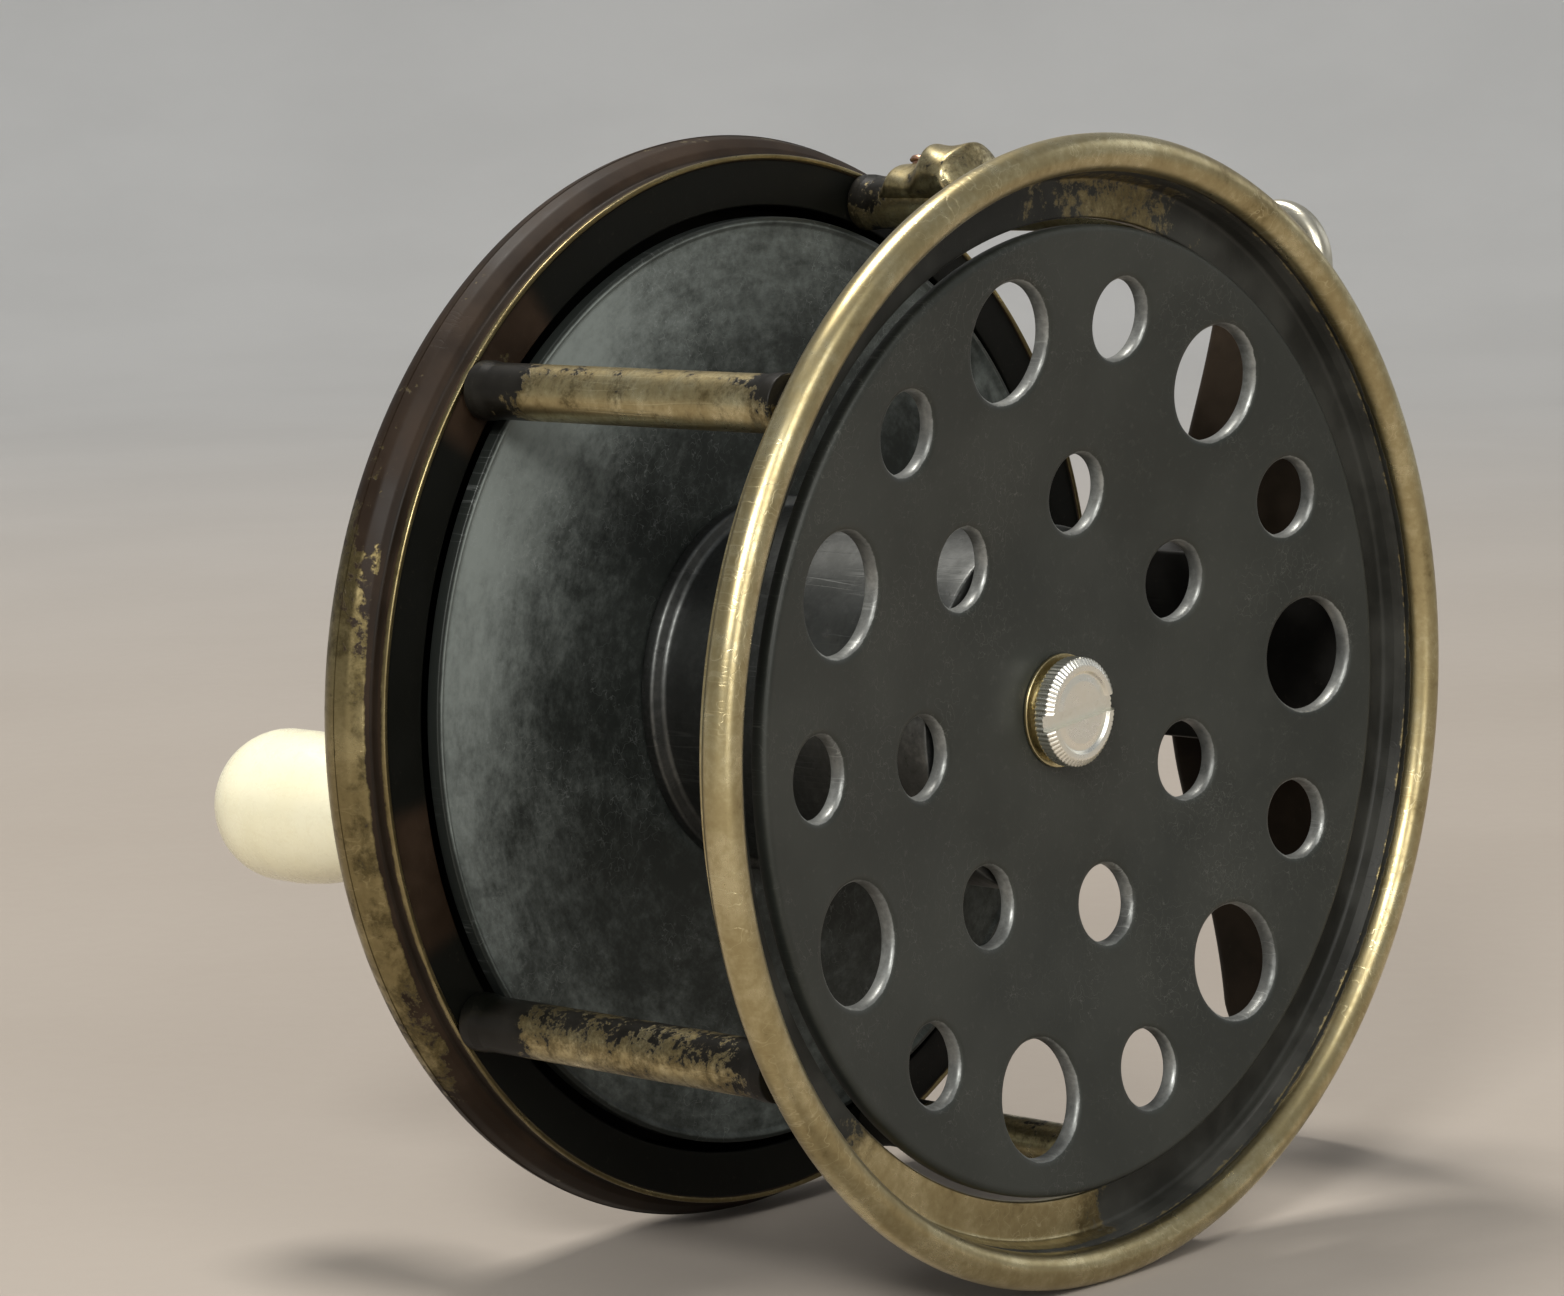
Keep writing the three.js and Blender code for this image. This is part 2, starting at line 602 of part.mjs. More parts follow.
function spoolCore() {
  const [front, back] = [SPOOL_FLAT_Y + SPOOL_PLATE + GAP, SPOOL_BACK_Y - GAP];
  const inside = CORE_RADIUS - CORE_WALL;
  return turned([
    [SPINDLE_BORE, front],
    [CORE_RADIUS, front],
    [CORE_RADIUS, back - 1.4],
    [CORE_COLLAR, back - 1.2],
    [CORE_COLLAR, back],
    [SPINDLE_BORE, back],
    [SPINDLE_BORE, back - CORE_WALL],
    [inside, back - CORE_WALL],
    [inside, front + CORE_WALL],
    [SPINDLE_BORE, front + CORE_WALL],
  ], MEDIUM);
}

function spoolBackPlate() {
  const back = SPOOL_BACK_Y + SPOOL_BACK_PLATE;
  return turned([
    [SPINDLE_BORE, SPOOL_BACK_Y],
    [36.2, SPOOL_BACK_Y],
    [36.6, SPOOL_BACK_Y - 0.3],
    [SPOOL_BACK_RADIUS, SPOOL_BACK_Y - 0.1],
    [SPOOL_BACK_RADIUS, back],
    [SPINDLE_BORE, back],
  ], COARSE);
}

function spindle() {
  const shaft = rod(SPINDLE_RADIUS, SPINDLE_FRONT_Y, SPINDLE_BACK_Y, MEDIUM);
  return shaft.subtract(rod(SPINDLE_TAP, SPINDLE_BACK_Y - SPINDLE_TAP_DEPTH, SPINDLE_BACK_Y + 1));
}

function flatWasher(inner, outer, fromY, toY) {
  return turned([[inner, fromY], [outer, fromY], [outer, toY], [inner, toY]], MEDIUM);
}

function spindleNut() {
  const body = turned([
    [0, NUT_FRONT_Y + 0.25],
    [2.9, NUT_FRONT_Y + 0.15],
    [3.3, NUT_FRONT_Y],
    [NUT_RADIUS - 0.35, NUT_FRONT_Y + 0.05],
    [NUT_RADIUS, NUT_FRONT_Y + 0.4],
    [NUT_RADIUS, NUT_HEAD_Y],
    [NUT_NECK, NUT_HEAD_Y + 0.1],
    [NUT_NECK, NUT_WASHER_Y - GAP],
    [SPINDLE_BORE, NUT_WASHER_Y - GAP],
    [SPINDLE_BORE, SPINDLE_FRONT_Y - GAP],
    [0, SPINDLE_FRONT_Y - GAP],
  ], MEDIUM);
  const slot = block([-6, 6], [NUT_FRONT_Y - 1, NUT_FRONT_Y + 0.65], [-NUT_SLOT / 2, NUT_SLOT / 2]);
  return body.subtract(slot.rotate([0, -NUT_SLOT_ANGLE, 0]));
}

add('spool_front_plate', spoolFrontPlate(), 'dark_alloy');
add('spool_core', spoolCore(), 'grey_alloy');
add('spool_back_plate', spoolBackPlate(), 'grey_alloy');
add('spindle', spindle(), 'steel');
add('spindle_washer', flatWasher(SPINDLE_BORE, 4.4, NUT_WASHER_Y, SPOOL_FLAT_Y - 0.05), 'brass');
add('spindle_nut', spindleNut(), 'nickel');
add('click_ratchet', ratchet(), 'steel');
add('thrust_washer', flatWasher(SPINDLE_BORE, 6, BACK_FACE_Y + 0.15, WINDING_Y - 0.1), 'bronze');

// ---------------------------------------------------------------- winding plate and handle

function windingPlate() {
  const back = WINDING_Y + WINDING_THICKNESS;
  const blank = turned([
    [SPINDLE_BORE, WINDING_Y],
    [36.6, WINDING_Y],
    [WINDING_RADIUS, WINDING_Y + 0.6],
    [36.8, back],
    [35.4, back],
    [34.8, back - 0.3],
    [10, back - 0.3],
    [9.2, back + 0.3],
    [6.2, back + 0.3],
    [SPINDLE_BORE, back + 0.3],
  ], COARSE);
  const pinHole = rod(HANDLE_BORE + 0.05, WINDING_Y - 1, back + 1);
  return blank.subtract(pinHole.translate(around(HANDLE_CIRCLE, HANDLE_ANGLE)));
}

function windingPlateScrew() {
  const seat = WINDING_Y + WINDING_THICKNESS + 0.3 + GAP;
  const body = turned([
    [0, SPINDLE_BACK_Y - WINDING_SCREW_LENGTH],
    [SCREW_RADIUS, SPINDLE_BACK_Y - WINDING_SCREW_LENGTH],
    [SCREW_RADIUS, seat],
    [WINDING_SCREW_HEAD, seat],
    [WINDING_SCREW_HEAD, seat + 0.9],
    [WINDING_SCREW_HEAD - 1, seat + 1.5],
    [0, seat + 1.8],
  ], MEDIUM);
  return body.subtract(block([-6, 6], [seat + 0.9, seat + 3], [-0.45, 0.45]));
}

function handlePin() {
  const body = turned([
    [0, WINDING_Y + 0.05],
    [HANDLE_PIN_RADIUS, WINDING_Y + 0.05],
    [HANDLE_PIN_RADIUS, PIN_COLLAR_Y - 0.3],
    [PIN_COLLAR_RADIUS, PIN_COLLAR_Y - 0.3],
    [PIN_COLLAR_RADIUS, PIN_COLLAR_Y + 0.6],
    [HANDLE_PIN_RADIUS, PIN_COLLAR_Y + 0.6],
    [HANDLE_PIN_RADIUS, PIN_END_Y],
    [0, PIN_END_Y],
  ]);
  return body.subtract(rod(PIN_TAP, PIN_END_Y - 5, PIN_END_Y + 1));
}

function handleKnob() {
  const [base, end] = [KNOB_START_Y, KNOB_END_Y];
  const belly = end - KNOB_BELLY;
  const bore = HANDLE_BORE;
  const recess = 2.5;
  const tip = arc(0, end - KNOB_RADIUS, KNOB_RADIUS, 5, 65, 4);
  return turned([
    [bore, base],
    [3.7, base],
    [4.3, base + 0.5],
    [4.5, base + 1.3],
    [4.7, base + 3],
    [5.3, base + 5.8],
    [5.85, base + 8.6],
    [KNOB_RADIUS, belly],
    ...tip,
    [recess, tip.at(-1)[1]],
    [recess, PIN_END_Y],
    [bore, PIN_END_Y],
  ], MEDIUM);
}

function handleScrew() {
  const seat = PIN_END_Y + GAP;
  const body = turned([
    [0, PIN_END_Y - 4],
    [END_SCREW_RADIUS, PIN_END_Y - 4],
    [END_SCREW_RADIUS, seat],
    [END_SCREW_HEAD, seat],
    [END_SCREW_HEAD, seat + 0.7],
    [END_SCREW_HEAD - 0.7, seat + 1.2],
    [0, seat + 1.4],
  ]);
  return body.subtract(block([-3, 3], [seat + 0.7, seat + 3], [-0.25, 0.25]));
}

const handle = new THREE.Group();
handle.position.fromArray(around(HANDLE_CIRCLE, HANDLE_ANGLE));
reel.add(handle);

add('winding_plate', windingPlate(), 'paint');
add('winding_plate_screw', windingPlateScrew(), 'nickel');
add('handle_pin', handlePin(), 'steel', handle);
add('handle_washer', flatWasher(HANDLE_BORE, 3.6, PIN_COLLAR_Y + 0.7, KNOB_START_Y - GAP), 'nickel', handle);
add('handle_knob', handleKnob(), 'ivory', handle);
add('handle_screw', handleScrew(), 'nickel', handle);

// The origin is the middle of the face that lies on the rod.
reel.position.x = -FOOT_SEAT;

const model = new THREE.Group();
model.add(reel);

export default model;
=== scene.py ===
"""The looks of the fly reel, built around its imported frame.

Metres. The spindle runs along Y, the perforated side faces -Y and Z is up. Profiles and outlines are
written in millimetres from the spindle's axis, or from a piece's own axis, and MM turns them into metres.
Angles around the spindle start at +X and turn towards +Z.
"""

import math

import bmesh
import bpy
from mathutils import Matrix, Vector, kdtree
from mathutils.geometry import delaunay_2d_cdt


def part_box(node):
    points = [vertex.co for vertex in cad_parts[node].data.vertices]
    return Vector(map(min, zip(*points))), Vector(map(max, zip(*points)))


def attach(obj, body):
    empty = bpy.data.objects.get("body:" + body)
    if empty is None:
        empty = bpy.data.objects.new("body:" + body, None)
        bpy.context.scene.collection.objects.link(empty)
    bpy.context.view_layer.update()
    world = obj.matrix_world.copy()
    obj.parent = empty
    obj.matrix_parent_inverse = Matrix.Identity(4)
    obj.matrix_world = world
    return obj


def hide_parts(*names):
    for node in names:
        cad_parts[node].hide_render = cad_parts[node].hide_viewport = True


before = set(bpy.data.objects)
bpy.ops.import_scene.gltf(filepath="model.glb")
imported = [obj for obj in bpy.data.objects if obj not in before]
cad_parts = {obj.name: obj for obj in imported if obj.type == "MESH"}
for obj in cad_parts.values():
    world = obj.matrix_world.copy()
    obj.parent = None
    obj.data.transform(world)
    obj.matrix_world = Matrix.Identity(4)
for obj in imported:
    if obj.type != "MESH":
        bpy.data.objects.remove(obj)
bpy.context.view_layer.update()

MM = 0.001
SIDES = 288  # of the large turned pieces
SMALL_SIDES = 72

# ---------------------------------------------------------------- places, from the frame


def middle(node):
    """The middle of a CAD node's box, as (x, z)."""
    low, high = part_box(node)
    return (low.x + high.x) / 2, (low.z + high.z) / 2


def faces_y(node):
    """The lowest and highest Y of a CAD node, in millimetres."""
    low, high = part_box(node)
    return low.y / MM, high.y / MM


def radius_of(node):
    """Half the height of a CAD node, in millimetres."""
    low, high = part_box(node)
    return (high.z - low.z) / 2 / MM


SPINDLE = middle("front_ring")
RIM = radius_of("front_ring")
FRONT_Y, FRONT_BACK_Y = faces_y("front_ring")
LIP_Y, BACK_FACE_Y = faces_y("back_plate")
BACK_RIM = radius_of("back_plate")
FLANGE_Y = faces_y("spool_back_plate")[0]
WINDING_Y = faces_y("winding_plate")[0]
PILLARS = ("pillar_top", "pillar_left_upper", "pillar_left_lower", "pillar_bottom")
STUDS = ("pawl_stud", "spring_screw")
BACK_SCREWS = (
    "pillar_screw_top", "pillar_screw_left_upper", "pillar_screw_left_lower", "pillar_screw_bottom",
    "bridge_screw_lower", "bridge_screw_upper",
)
FRONT_OPENING = 37.7  # radii of the openings inside the two ledges
BACK_OPENING = 38.4
FRONT_LEDGE_Y = -17.3
BACK_LEDGE_Y = LIP_Y + 0.2
WEB_INNER_Y = 19.6  # inner side of the back plate's closed web
BEAD = 1.45
RING_EDGE = 41.9  # radius of the thin edge behind the bead
BORE = 2.65  # of everything on the spindle
SINK = 2.55  # radius of a countersink at the face
PLATE_FLAT_Y = -15.6  # the perforated plate's middle, its thickness, and the cone it spreads into
PLATE = 1.4
CONE_START = 14.6
CONE_SLOPE = 0.1422
DRUM = 14.2
DRUM_WALL = 1.5
HOLE_COUNT = 7
HOLES = (
    {"radius": 4.56, "circle": 29.8, "start": 157.2},
    {"radius": 3.1, "circle": 30.3, "start": 131.5},
    {"radius": 3.06, "circle": 16.7, "start": 134.5},
)

# ---------------------------------------------------------------- meshes


def finish_mesh(node, mesh, body, slot, material, sharp=35):
    """Makes the mesh a piece that rides on a body and stands for its CAD node."""
    mesh.name = node + "_fine"
    mesh.shade_smooth()
    mesh.set_sharp_from_angle(angle=math.radians(sharp))
    piece = bpy.data.objects.new(node + "_fine", mesh)
    bpy.context.scene.collection.objects.link(piece)
    mesh.materials.clear()
    mesh.materials.append(material)
    mesh.polygons.foreach_set("material_index", [0] * len(mesh.polygons))
    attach(piece, body)
    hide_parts(node)
    return piece


def mesh_from(points, faces):
    mesh = bpy.data.meshes.new("mesh")
    build = bmesh.new()
    verts = [build.verts.new(point) for point in points]
    for face in faces:
        corners = [verts[i] for i in dict.fromkeys(face)]
        if len(corners) > 2:
            build.faces.new(corners)
    bmesh.ops.remove_doubles(build, verts=build.verts, dist=1e-7)
    bmesh.ops.recalc_face_normals(build, faces=build.faces)
    build.to_mesh(mesh)
    build.free()
    return mesh


def face_outward(mesh):
    build = bmesh.new()
    build.from_mesh(mesh)
    bmesh.ops.recalc_face_normals(build, faces=build.faces)
    build.to_mesh(mesh)
    build.free()


def arc(centre, radius, start, end, steps):
    """Points of a profile on an arc, in degrees from the outward direction towards +Y."""
    angles = [math.radians(start + (end - start) * i / steps) for i in range(steps + 1)]
    return [(centre[0] + radius * math.cos(a), centre[1] + radius * math.sin(a)) for a in angles]


def rounded(profile, steps=4):
    """A closed profile with its corners rounded. A point is (radius, y) or (radius, y, corner radius)."""
    points = []
    count = len(profile)
    for i, corner in enumerate(profile):
        here = Vector(corner[:2])
        size = corner[2] if len(corner) > 2 else 0
        before = Vector(profile[i - 1][:2]) - here
        after = Vector(profile[(i + 1) % count][:2]) - here
        if size <= 0 or min(before.length, after.length) < 1e-6:
            points.append(tuple(here))
            continue
        before_way, after_way = before.normalized(), after.normalized()
        half = before_way.angle(after_way) / 2
        if half > math.radians(88):
            points.append(tuple(here))
            continue
        reach = min(size / math.tan(half), before.length * 0.48, after.length * 0.48)
        size = reach * math.tan(half)
        centre = here + (before_way + after_way).normalized() * size / math.sin(half)
        start, end = here + before_way * reach - centre, here + after_way * reach - centre
        for step in range(steps + 1):
            way = start.lerp(end, step / steps)
            points.append(tuple(centre + way.normalized() * size))
    return points


def divided(profile, longest):
    """A closed profile with no step longer than that."""
    points = []
    for a, b in zip(profile, profile[1:] + profile[:1]):
        count = max(1, math.ceil(math.dist(a, b) / longest))
        points += [(a[0] + (b[0] - a[0]) * i / count, a[1] + (b[1] - a[1]) * i / count) for i in range(count)]
    return points


def turned_mesh(profile, sides=SMALL_SIDES, centre=SPINDLE, shape=None):
    """A closed profile turned about an axis along Y. Shape takes (radius, y, angle) and may move a point."""
    points, faces = [], []
    count = len(profile)
    for side in range(sides):
        angle = 2 * math.pi * side / sides
        for radius, y in profile:
            if shape:
                radius, y = shape(radius, y, angle)
            x = centre[0] + radius * MM * math.cos(angle)
            points.append((x, y * MM, centre[1] + radius * MM * math.sin(angle)))
    for side in range(sides):
        here, there = side * count, (side + 1) % sides * count
        for i in range(count):
            j = (i + 1) % count
            faces.append((here + i, here + j, there + j, there + i))
    return mesh_from(points, faces)


def bezier(a, b, c, d, steps):
    points = []
    for i in range(steps):
        t = i / steps
        weights = ((1 - t) ** 3, 3 * t * (1 - t) ** 2, 3 * t * t * (1 - t), t**3)
        points.append(tuple(sum(w * p[k] for w, p in zip(weights, (a, b, c, d))) for k in (0, 1)))
    return points


def turned_piece(node, profile, body, slot, material, sides=SMALL_SIDES, centre=SPINDLE):
    return finish_mesh(node, turned_mesh(profile, sides, centre), body, slot, material)


def circle(radius, count, centre=(0, 0)):
    angles = [2 * math.pi * i / count for i in range(count)]
    return [(centre[0] + radius * math.cos(a), centre[1] + radius * math.sin(a)) for a in angles]


def area(loop):
    return sum(a[0] * b[1] - b[0] * a[1] for a, b in zip(loop, loop[1:] + loop[:1])) / 2


def inset(loop, distance, inward):
    """A closed loop moved sideways by a distance, into the material."""
    turn = (1 if area(loop) > 0 else -1) * (1 if inward else -1)
    moved = []
    for i, point in enumerate(loop):
        along = Vector(loop[(i + 1) % len(loop)]) - Vector(loop[i - 1])
        across = Vector((-along.y, along.x)).normalized() * turn
        moved.append((point[0] + across.x * distance, point[1] + across.y * distance))
    return moved


def inside(point, loop):
    x, y = point
    found = False
    for (ax, ay), (bx, by) in zip(loop, loop[1:] + loop[:1]):
        if (ay > y) != (by > y) and x < (bx - ax) * (y - ay) / (by - ay) + ax:
            found = not found
    return found


def scattered(outline, holes, spacing):
    """Points in a hexagonal pattern between an outline and its holes."""
    rims = [point for loop in [outline, *holes] for point in loop]
    tree = kdtree.KDTree(len(rims))
    for i, (u, v) in enumerate(rims):
        tree.insert((u, v, 0), i)
    tree.balance()
    low = [min(point[k] for point in outline) for k in (0, 1)]
    high = [max(point[k] for point in outline) for k in (0, 1)]
    found = []
    row_height = spacing * math.sqrt(3) / 2
    for row in range(int((high[1] - low[1]) / row_height) + 1):
        v = low[1] + row * row_height
        for column in range(int((high[0] - low[0]) / spacing) + 2):
            u = low[0] + (column + 0.5 * (row % 2)) * spacing
            if tree.find((u, v, 0))[2] < 0.6 * spacing or not inside((u, v), outline):
                continue
            if not any(inside((u, v), hole) for hole in holes):
                found.append((u, v))
    return found


def slab_mesh(outline, holes, low, high, lips, spacing, place):
    """A plate with softly rounded edges. Outline and holes are loops of (u, v). Low and high give the
    heights of its two faces at (u, v), lips the edge radii there, and place puts (u, v, height) in space."""
    loops = [(outline, True)] + [(hole, False) for hole in holes]
    steps = 4
    # how far each ring of points lies from the edge, and how far down it lies there, as shares of the lip
    turns = [math.pi / 2 * k / steps for k in range(steps + 1)]
    rings = [(1 - math.cos(turn), 1 - math.sin(turn)) for turn in turns]
    rings.append((1.4, 0))
    lip = max(lips)
    flat, last_rings, starts = [], [], []
    for loop, inward in loops:
        starts.append(len(flat))
        for out, _ in rings:
            ring = inset(loop, out * lip, inward)
            flat.extend(ring)
        last_rings.append(ring)
    free = scattered(last_rings[0], last_rings[1:], spacing)
    border = [point for ring in last_rings for point in ring]
    edges, owner, offset = [], [], 0
    for number, ring in enumerate(last_rings):
        edges += [(offset + i, offset + (i + 1) % len(ring)) for i in range(len(ring))]
        owner += [number] * len(ring)
        offset += len(ring)
    owner += [-1] * len(free)
    inner = delaunay_2d_cdt([Vector(p) for p in border + free], edges, [], 1, 1e-6)
    if len(inner[0]) != len(border) + len(free):
        raise ValueError("the fill moved its points")
    index = []
    for (loop, _), start in zip(loops, starts):
        first = start + len(loop) * (len(rings) - 1)
        index += range(first, first + len(loop))
    index += range(len(flat), len(flat) + len(free))
    flat += free
    fill = []
    for face in inner[2]:
        owners = {owner[i] for i in face}
        if len(owners) == 1 and owners != {-1} and owners != {0}:
            continue
        fill.append(tuple(index[i] for i in face))
    drop = [0.0] * len(flat)
    for (loop, _), start in zip(loops, starts):
        for k, (_, down) in enumerate(rings):
            for i in range(len(loop)):
                drop[start + k * len(loop) + i] = down
    points = [place(u, v, low(u, v) + drop[i] * lips[0]) for i, (u, v) in enumerate(flat)]
    points += [place(u, v, high(u, v) - drop[i] * lips[1]) for i, (u, v) in enumerate(flat)]
    size = len(flat)
    faces = fill + [tuple(i + size for i in face) for face in fill]
    for (loop, _), start in zip(loops, starts):
        count = len(loop)
        for i in range(count):
            j = (i + 1) % count
            faces.append((start + i, start + j, start + j + size, start + i + size))
            for k in range(len(rings) - 1):
                a, b = start + k * count, start + (k + 1) * count
                quad = (a + i, a + j, b + j, b + i)
                faces += [quad, tuple(corner + size for corner in quad)]
    return mesh_from(points, faces)


def cut(mesh, cutters):
    """The mesh with each cutter mesh taken out of it."""
    for cutter in cutters:
        piece = bpy.data.objects.new("cut_body", mesh)
        tool = bpy.data.objects.new("cut_tool", cutter)
        for item in (piece, tool):
            bpy.context.scene.collection.objects.link(item)
        modifier = piece.modifiers.new("cut", "BOOLEAN")
        modifier.operation = "DIFFERENCE"
        modifier.solver = "MANIFOLD"
        modifier.object = tool
        graph = bpy.context.evaluated_depsgraph_get()
        mesh = bpy.data.meshes.new_from_object(piece.evaluated_get(graph))
        for item in (piece, tool):
            bpy.data.objects.remove(item)
    return mesh


def block_mesh(x, y, z, centre=SPINDLE, turn=0):
    """A block with its sides in millimetres from an axis along Y, turned about that axis."""
    build = bmesh.new()
    bmesh.ops.create_cube(build, size=1)
    angle = math.radians(turn)
    for vert in build.verts:
        across = (x[0] + x[1]) / 2 + vert.co.x * (x[1] - x[0])
        up = (z[0] + z[1]) / 2 + vert.co.z * (z[1] - z[0])
        vert.co = (
            centre[0] + (across * math.cos(angle) - up * math.sin(angle)) * MM,
            ((y[0] + y[1]) / 2 + vert.co.y * (y[1] - y[0])) * MM,
            centre[1] + (across * math.sin(angle) + up * math.cos(angle)) * MM,
        )
    mesh = bpy.data.meshes.new("block")
    build.to_mesh(mesh)
    build.free()
    return mesh


def rod_mesh(radius, y, centre=SPINDLE, sides=48):
    return turned_mesh([(0, y[0]), (radius, y[0]), (radius, y[1]), (0, y[1])], sides, centre)


def coat(piece, rule, centre=SPINDLE):
    """Writes how likely paint is at each vertex. Rule takes (radius, y, angle in degrees) from an axis."""
    attribute = piece.data.attributes.new("paint", "FLOAT", "POINT")
    values = []
    for vert in piece.data.vertices:
        x, z = (vert.co.x - centre[0]) / MM, (vert.co.z - centre[1]) / MM
        values.append(rule(math.hypot(x, z), vert.co.y / MM, math.degrees(math.atan2(z, x)) % 360))
    attribute.data.foreach_set("value", values)


def smooth(low, high, value):
    """0 at low, 1 at high, with soft ends. Low may be above high."""
    share = min(1, max(0, (value - low) / (high - low)))
    return share * share * (3 - 2 * share)


def near(angle, centre, reach):
    """1 at an angle, falling to 0 at reach degrees from it."""
    apart = abs((angle - centre + 180) % 360 - 180)
    return 1 - smooth(0, reach, apart)


# ---------------------------------------------------------------- materials


class Finish:
    """One material's node tree."""

    def __init__(self, name):
        self.material = bpy.data.materials.new(name)
        self.material.use_nodes = True
        self.tree = self.material.node_tree
        self.tree.nodes.clear()
        self.shader = self.tree.nodes.new("ShaderNodeBsdfPrincipled")
        output = self.tree.nodes.new("ShaderNodeOutputMaterial")
        self.tree.links.new(self.shader.outputs[0], output.inputs["Surface"])
        self.place = self.tree.nodes.new("ShaderNodeTexCoord").outputs["Object"]

    def put(self, socket, value):
        """Links a socket to another, or sets its value."""
        if isinstance(value, bpy.types.NodeSocket):
            self.tree.links.new(value, socket)
        elif isinstance(value, tuple) and len(value) == 3 and len(socket.default_value) == 4:
            socket.default_value = (*value, 1)
        else:
            socket.default_value = value

    def set(self, **values):
        for name, value in values.items():
            self.put(self.shader.inputs[name.replace("_", " ")], value)

    def math(self, operation, a, b=0.0):
        node = self.tree.nodes.new("ShaderNodeMath")
        node.operation = operation
        self.put(node.inputs[0], a)
        self.put(node.inputs[1], b)
        return node.outputs[0]

    def plus(self, a, b):
        return self.math("ADD", a, b)

    def minus(self, a, b):
        return self.math("SUBTRACT", a, b)

    def times(self, a, b):
        return self.math("MULTIPLY", a, b)

    def weighted(self, *parts):
        """The sum of values, each times its weight."""
        total = self.times(*parts[0])
        for value, weight in parts[1:]:
            total = self.plus(total, self.times(value, weight))
        return total

    def scaled(self, vector, scale, shift=(0, 0, 0)):
        node = self.tree.nodes.new("ShaderNodeMapping")
        self.put(node.inputs["Vector"], vector)
        node.inputs["Scale"].default_value = scale
        node.inputs["Location"].default_value = shift
        return node.outputs[0]

    def noise(self, size, detail=4, roughness=0.6, vector=None, shift=0.0, distortion=0.0):
        """Soft noise from 0 to 1 with features of about size millimetres."""
        node = self.tree.nodes.new("ShaderNodeTexNoise")
        moved = self.scaled(vector or self.place, (1, 1, 1), (shift, shift * 0.7, -shift))
        self.put(node.inputs["Vector"], moved)
        node.inputs["Scale"].default_value = 1 / (size * MM)
        for socket, value in (("Detail", detail), ("Roughness", roughness), ("Distortion", distortion)):
            node.inputs[socket].default_value = value
        return node.outputs["Fac"]

    def step(self, value, low, high, start=0.0, end=1.0):
        """Start below low, end above high, and smooth between them."""
        node = self.tree.nodes.new("ShaderNodeMapRange")
        node.interpolation_type = "SMOOTHSTEP"
        self.put(node.inputs["Value"], value)
        for socket, edge in (("From Min", low), ("From Max", high), ("To Min", start), ("To Max", end)):
            node.inputs[socket].default_value = edge
        return node.outputs[0]

    def blend(self, factor, a, b):
        """Colour a where factor is 0 and b where it is 1."""
        node = self.tree.nodes.new("ShaderNodeMix")
        node.data_type = "RGBA"
        self.put(node.inputs[0], factor)
        self.put(node.inputs[6], a)
        self.put(node.inputs[7], b)
        return node.outputs[2]

    def between(self, factor, a, b):
        """Number a where factor is 0 and b where it is 1."""
        node = self.tree.nodes.new("ShaderNodeMix")
        node.data_type = "FLOAT"
        self.put(node.inputs[0], factor)
        self.put(node.inputs[2], a)
        self.put(node.inputs[3], b)
        return node.outputs[0]

    def attribute(self, name):
        node = self.tree.nodes.new("ShaderNodeAttribute")
        node.attribute_name = name
        return node.outputs["Fac"]

    def turning(self, centre=SPINDLE, around=1.0):
        """Coordinates that change fast across the marks of a lathe and slowly along them."""
        away = self.tree.nodes.new("ShaderNodeVectorMath")
        away.operation = "SUBTRACT"
        self.put(away.inputs[0], self.place)
        away.inputs[1].default_value = (centre[0], 0, centre[1])
        parts = self.tree.nodes.new("ShaderNodeSeparateXYZ")
        self.put(parts.inputs[0], away.outputs[0])
        x, y, z = parts.outputs
        radius = self.math("SQRT", self.plus(self.times(x, x), self.times(z, z)))
        safe = self.math("MAXIMUM", radius, 1e-5)
        joined = self.tree.nodes.new("ShaderNodeCombineXYZ")
        self.put(joined.inputs[0], self.plus(radius, self.times(y, 0.8)))
        self.put(joined.inputs[1], self.times(self.math("DIVIDE", x, safe), around * MM))
        self.put(joined.inputs[2], self.times(self.math("DIVIDE", z, safe), around * MM))
        return joined.outputs[0]

    def scratches(self, size, amount, shift=0.0):
        """Thin marks in all directions, 1 on a mark."""
        marks = None
        for number in range(3):
            turn = self.tree.nodes.new("ShaderNodeMapping")
            self.put(turn.inputs["Vector"], self.place)
            turn.inputs["Rotation"].default_value = (0.7 + number, 1.3 * number + 0.4, 0.9 * number + shift)
            turn.inputs["Scale"].default_value = (1, 0.04, 1)
            line = self.noise(size, 2, 0.5, turn.outputs[0], shift + number)
            mark = self.step(self.math("ABSOLUTE", self.minus(line, 0.5)), 0, 0.012 * amount, 1, 0)
            patch = self.step(self.noise(size * 9, 2, 0.5, None, number * 3.1 + shift), 0.52, 0.66)
            mark = self.times(mark, patch)
            marks = mark if marks is None else self.math("MAXIMUM", marks, mark)
        return marks

    def bump(self, height, depth, before=None):
        """Height in 0 to 1, and its depth in millimetres."""
        node = self.tree.nodes.new("ShaderNodeBump")
        node.inputs["Strength"].default_value = 1.0
        node.inputs["Distance"].default_value = depth * MM
        self.put(node.inputs["Height"], height)
        if before is not None:
            self.put(node.inputs["Normal"], before)
        return node.outputs[0]


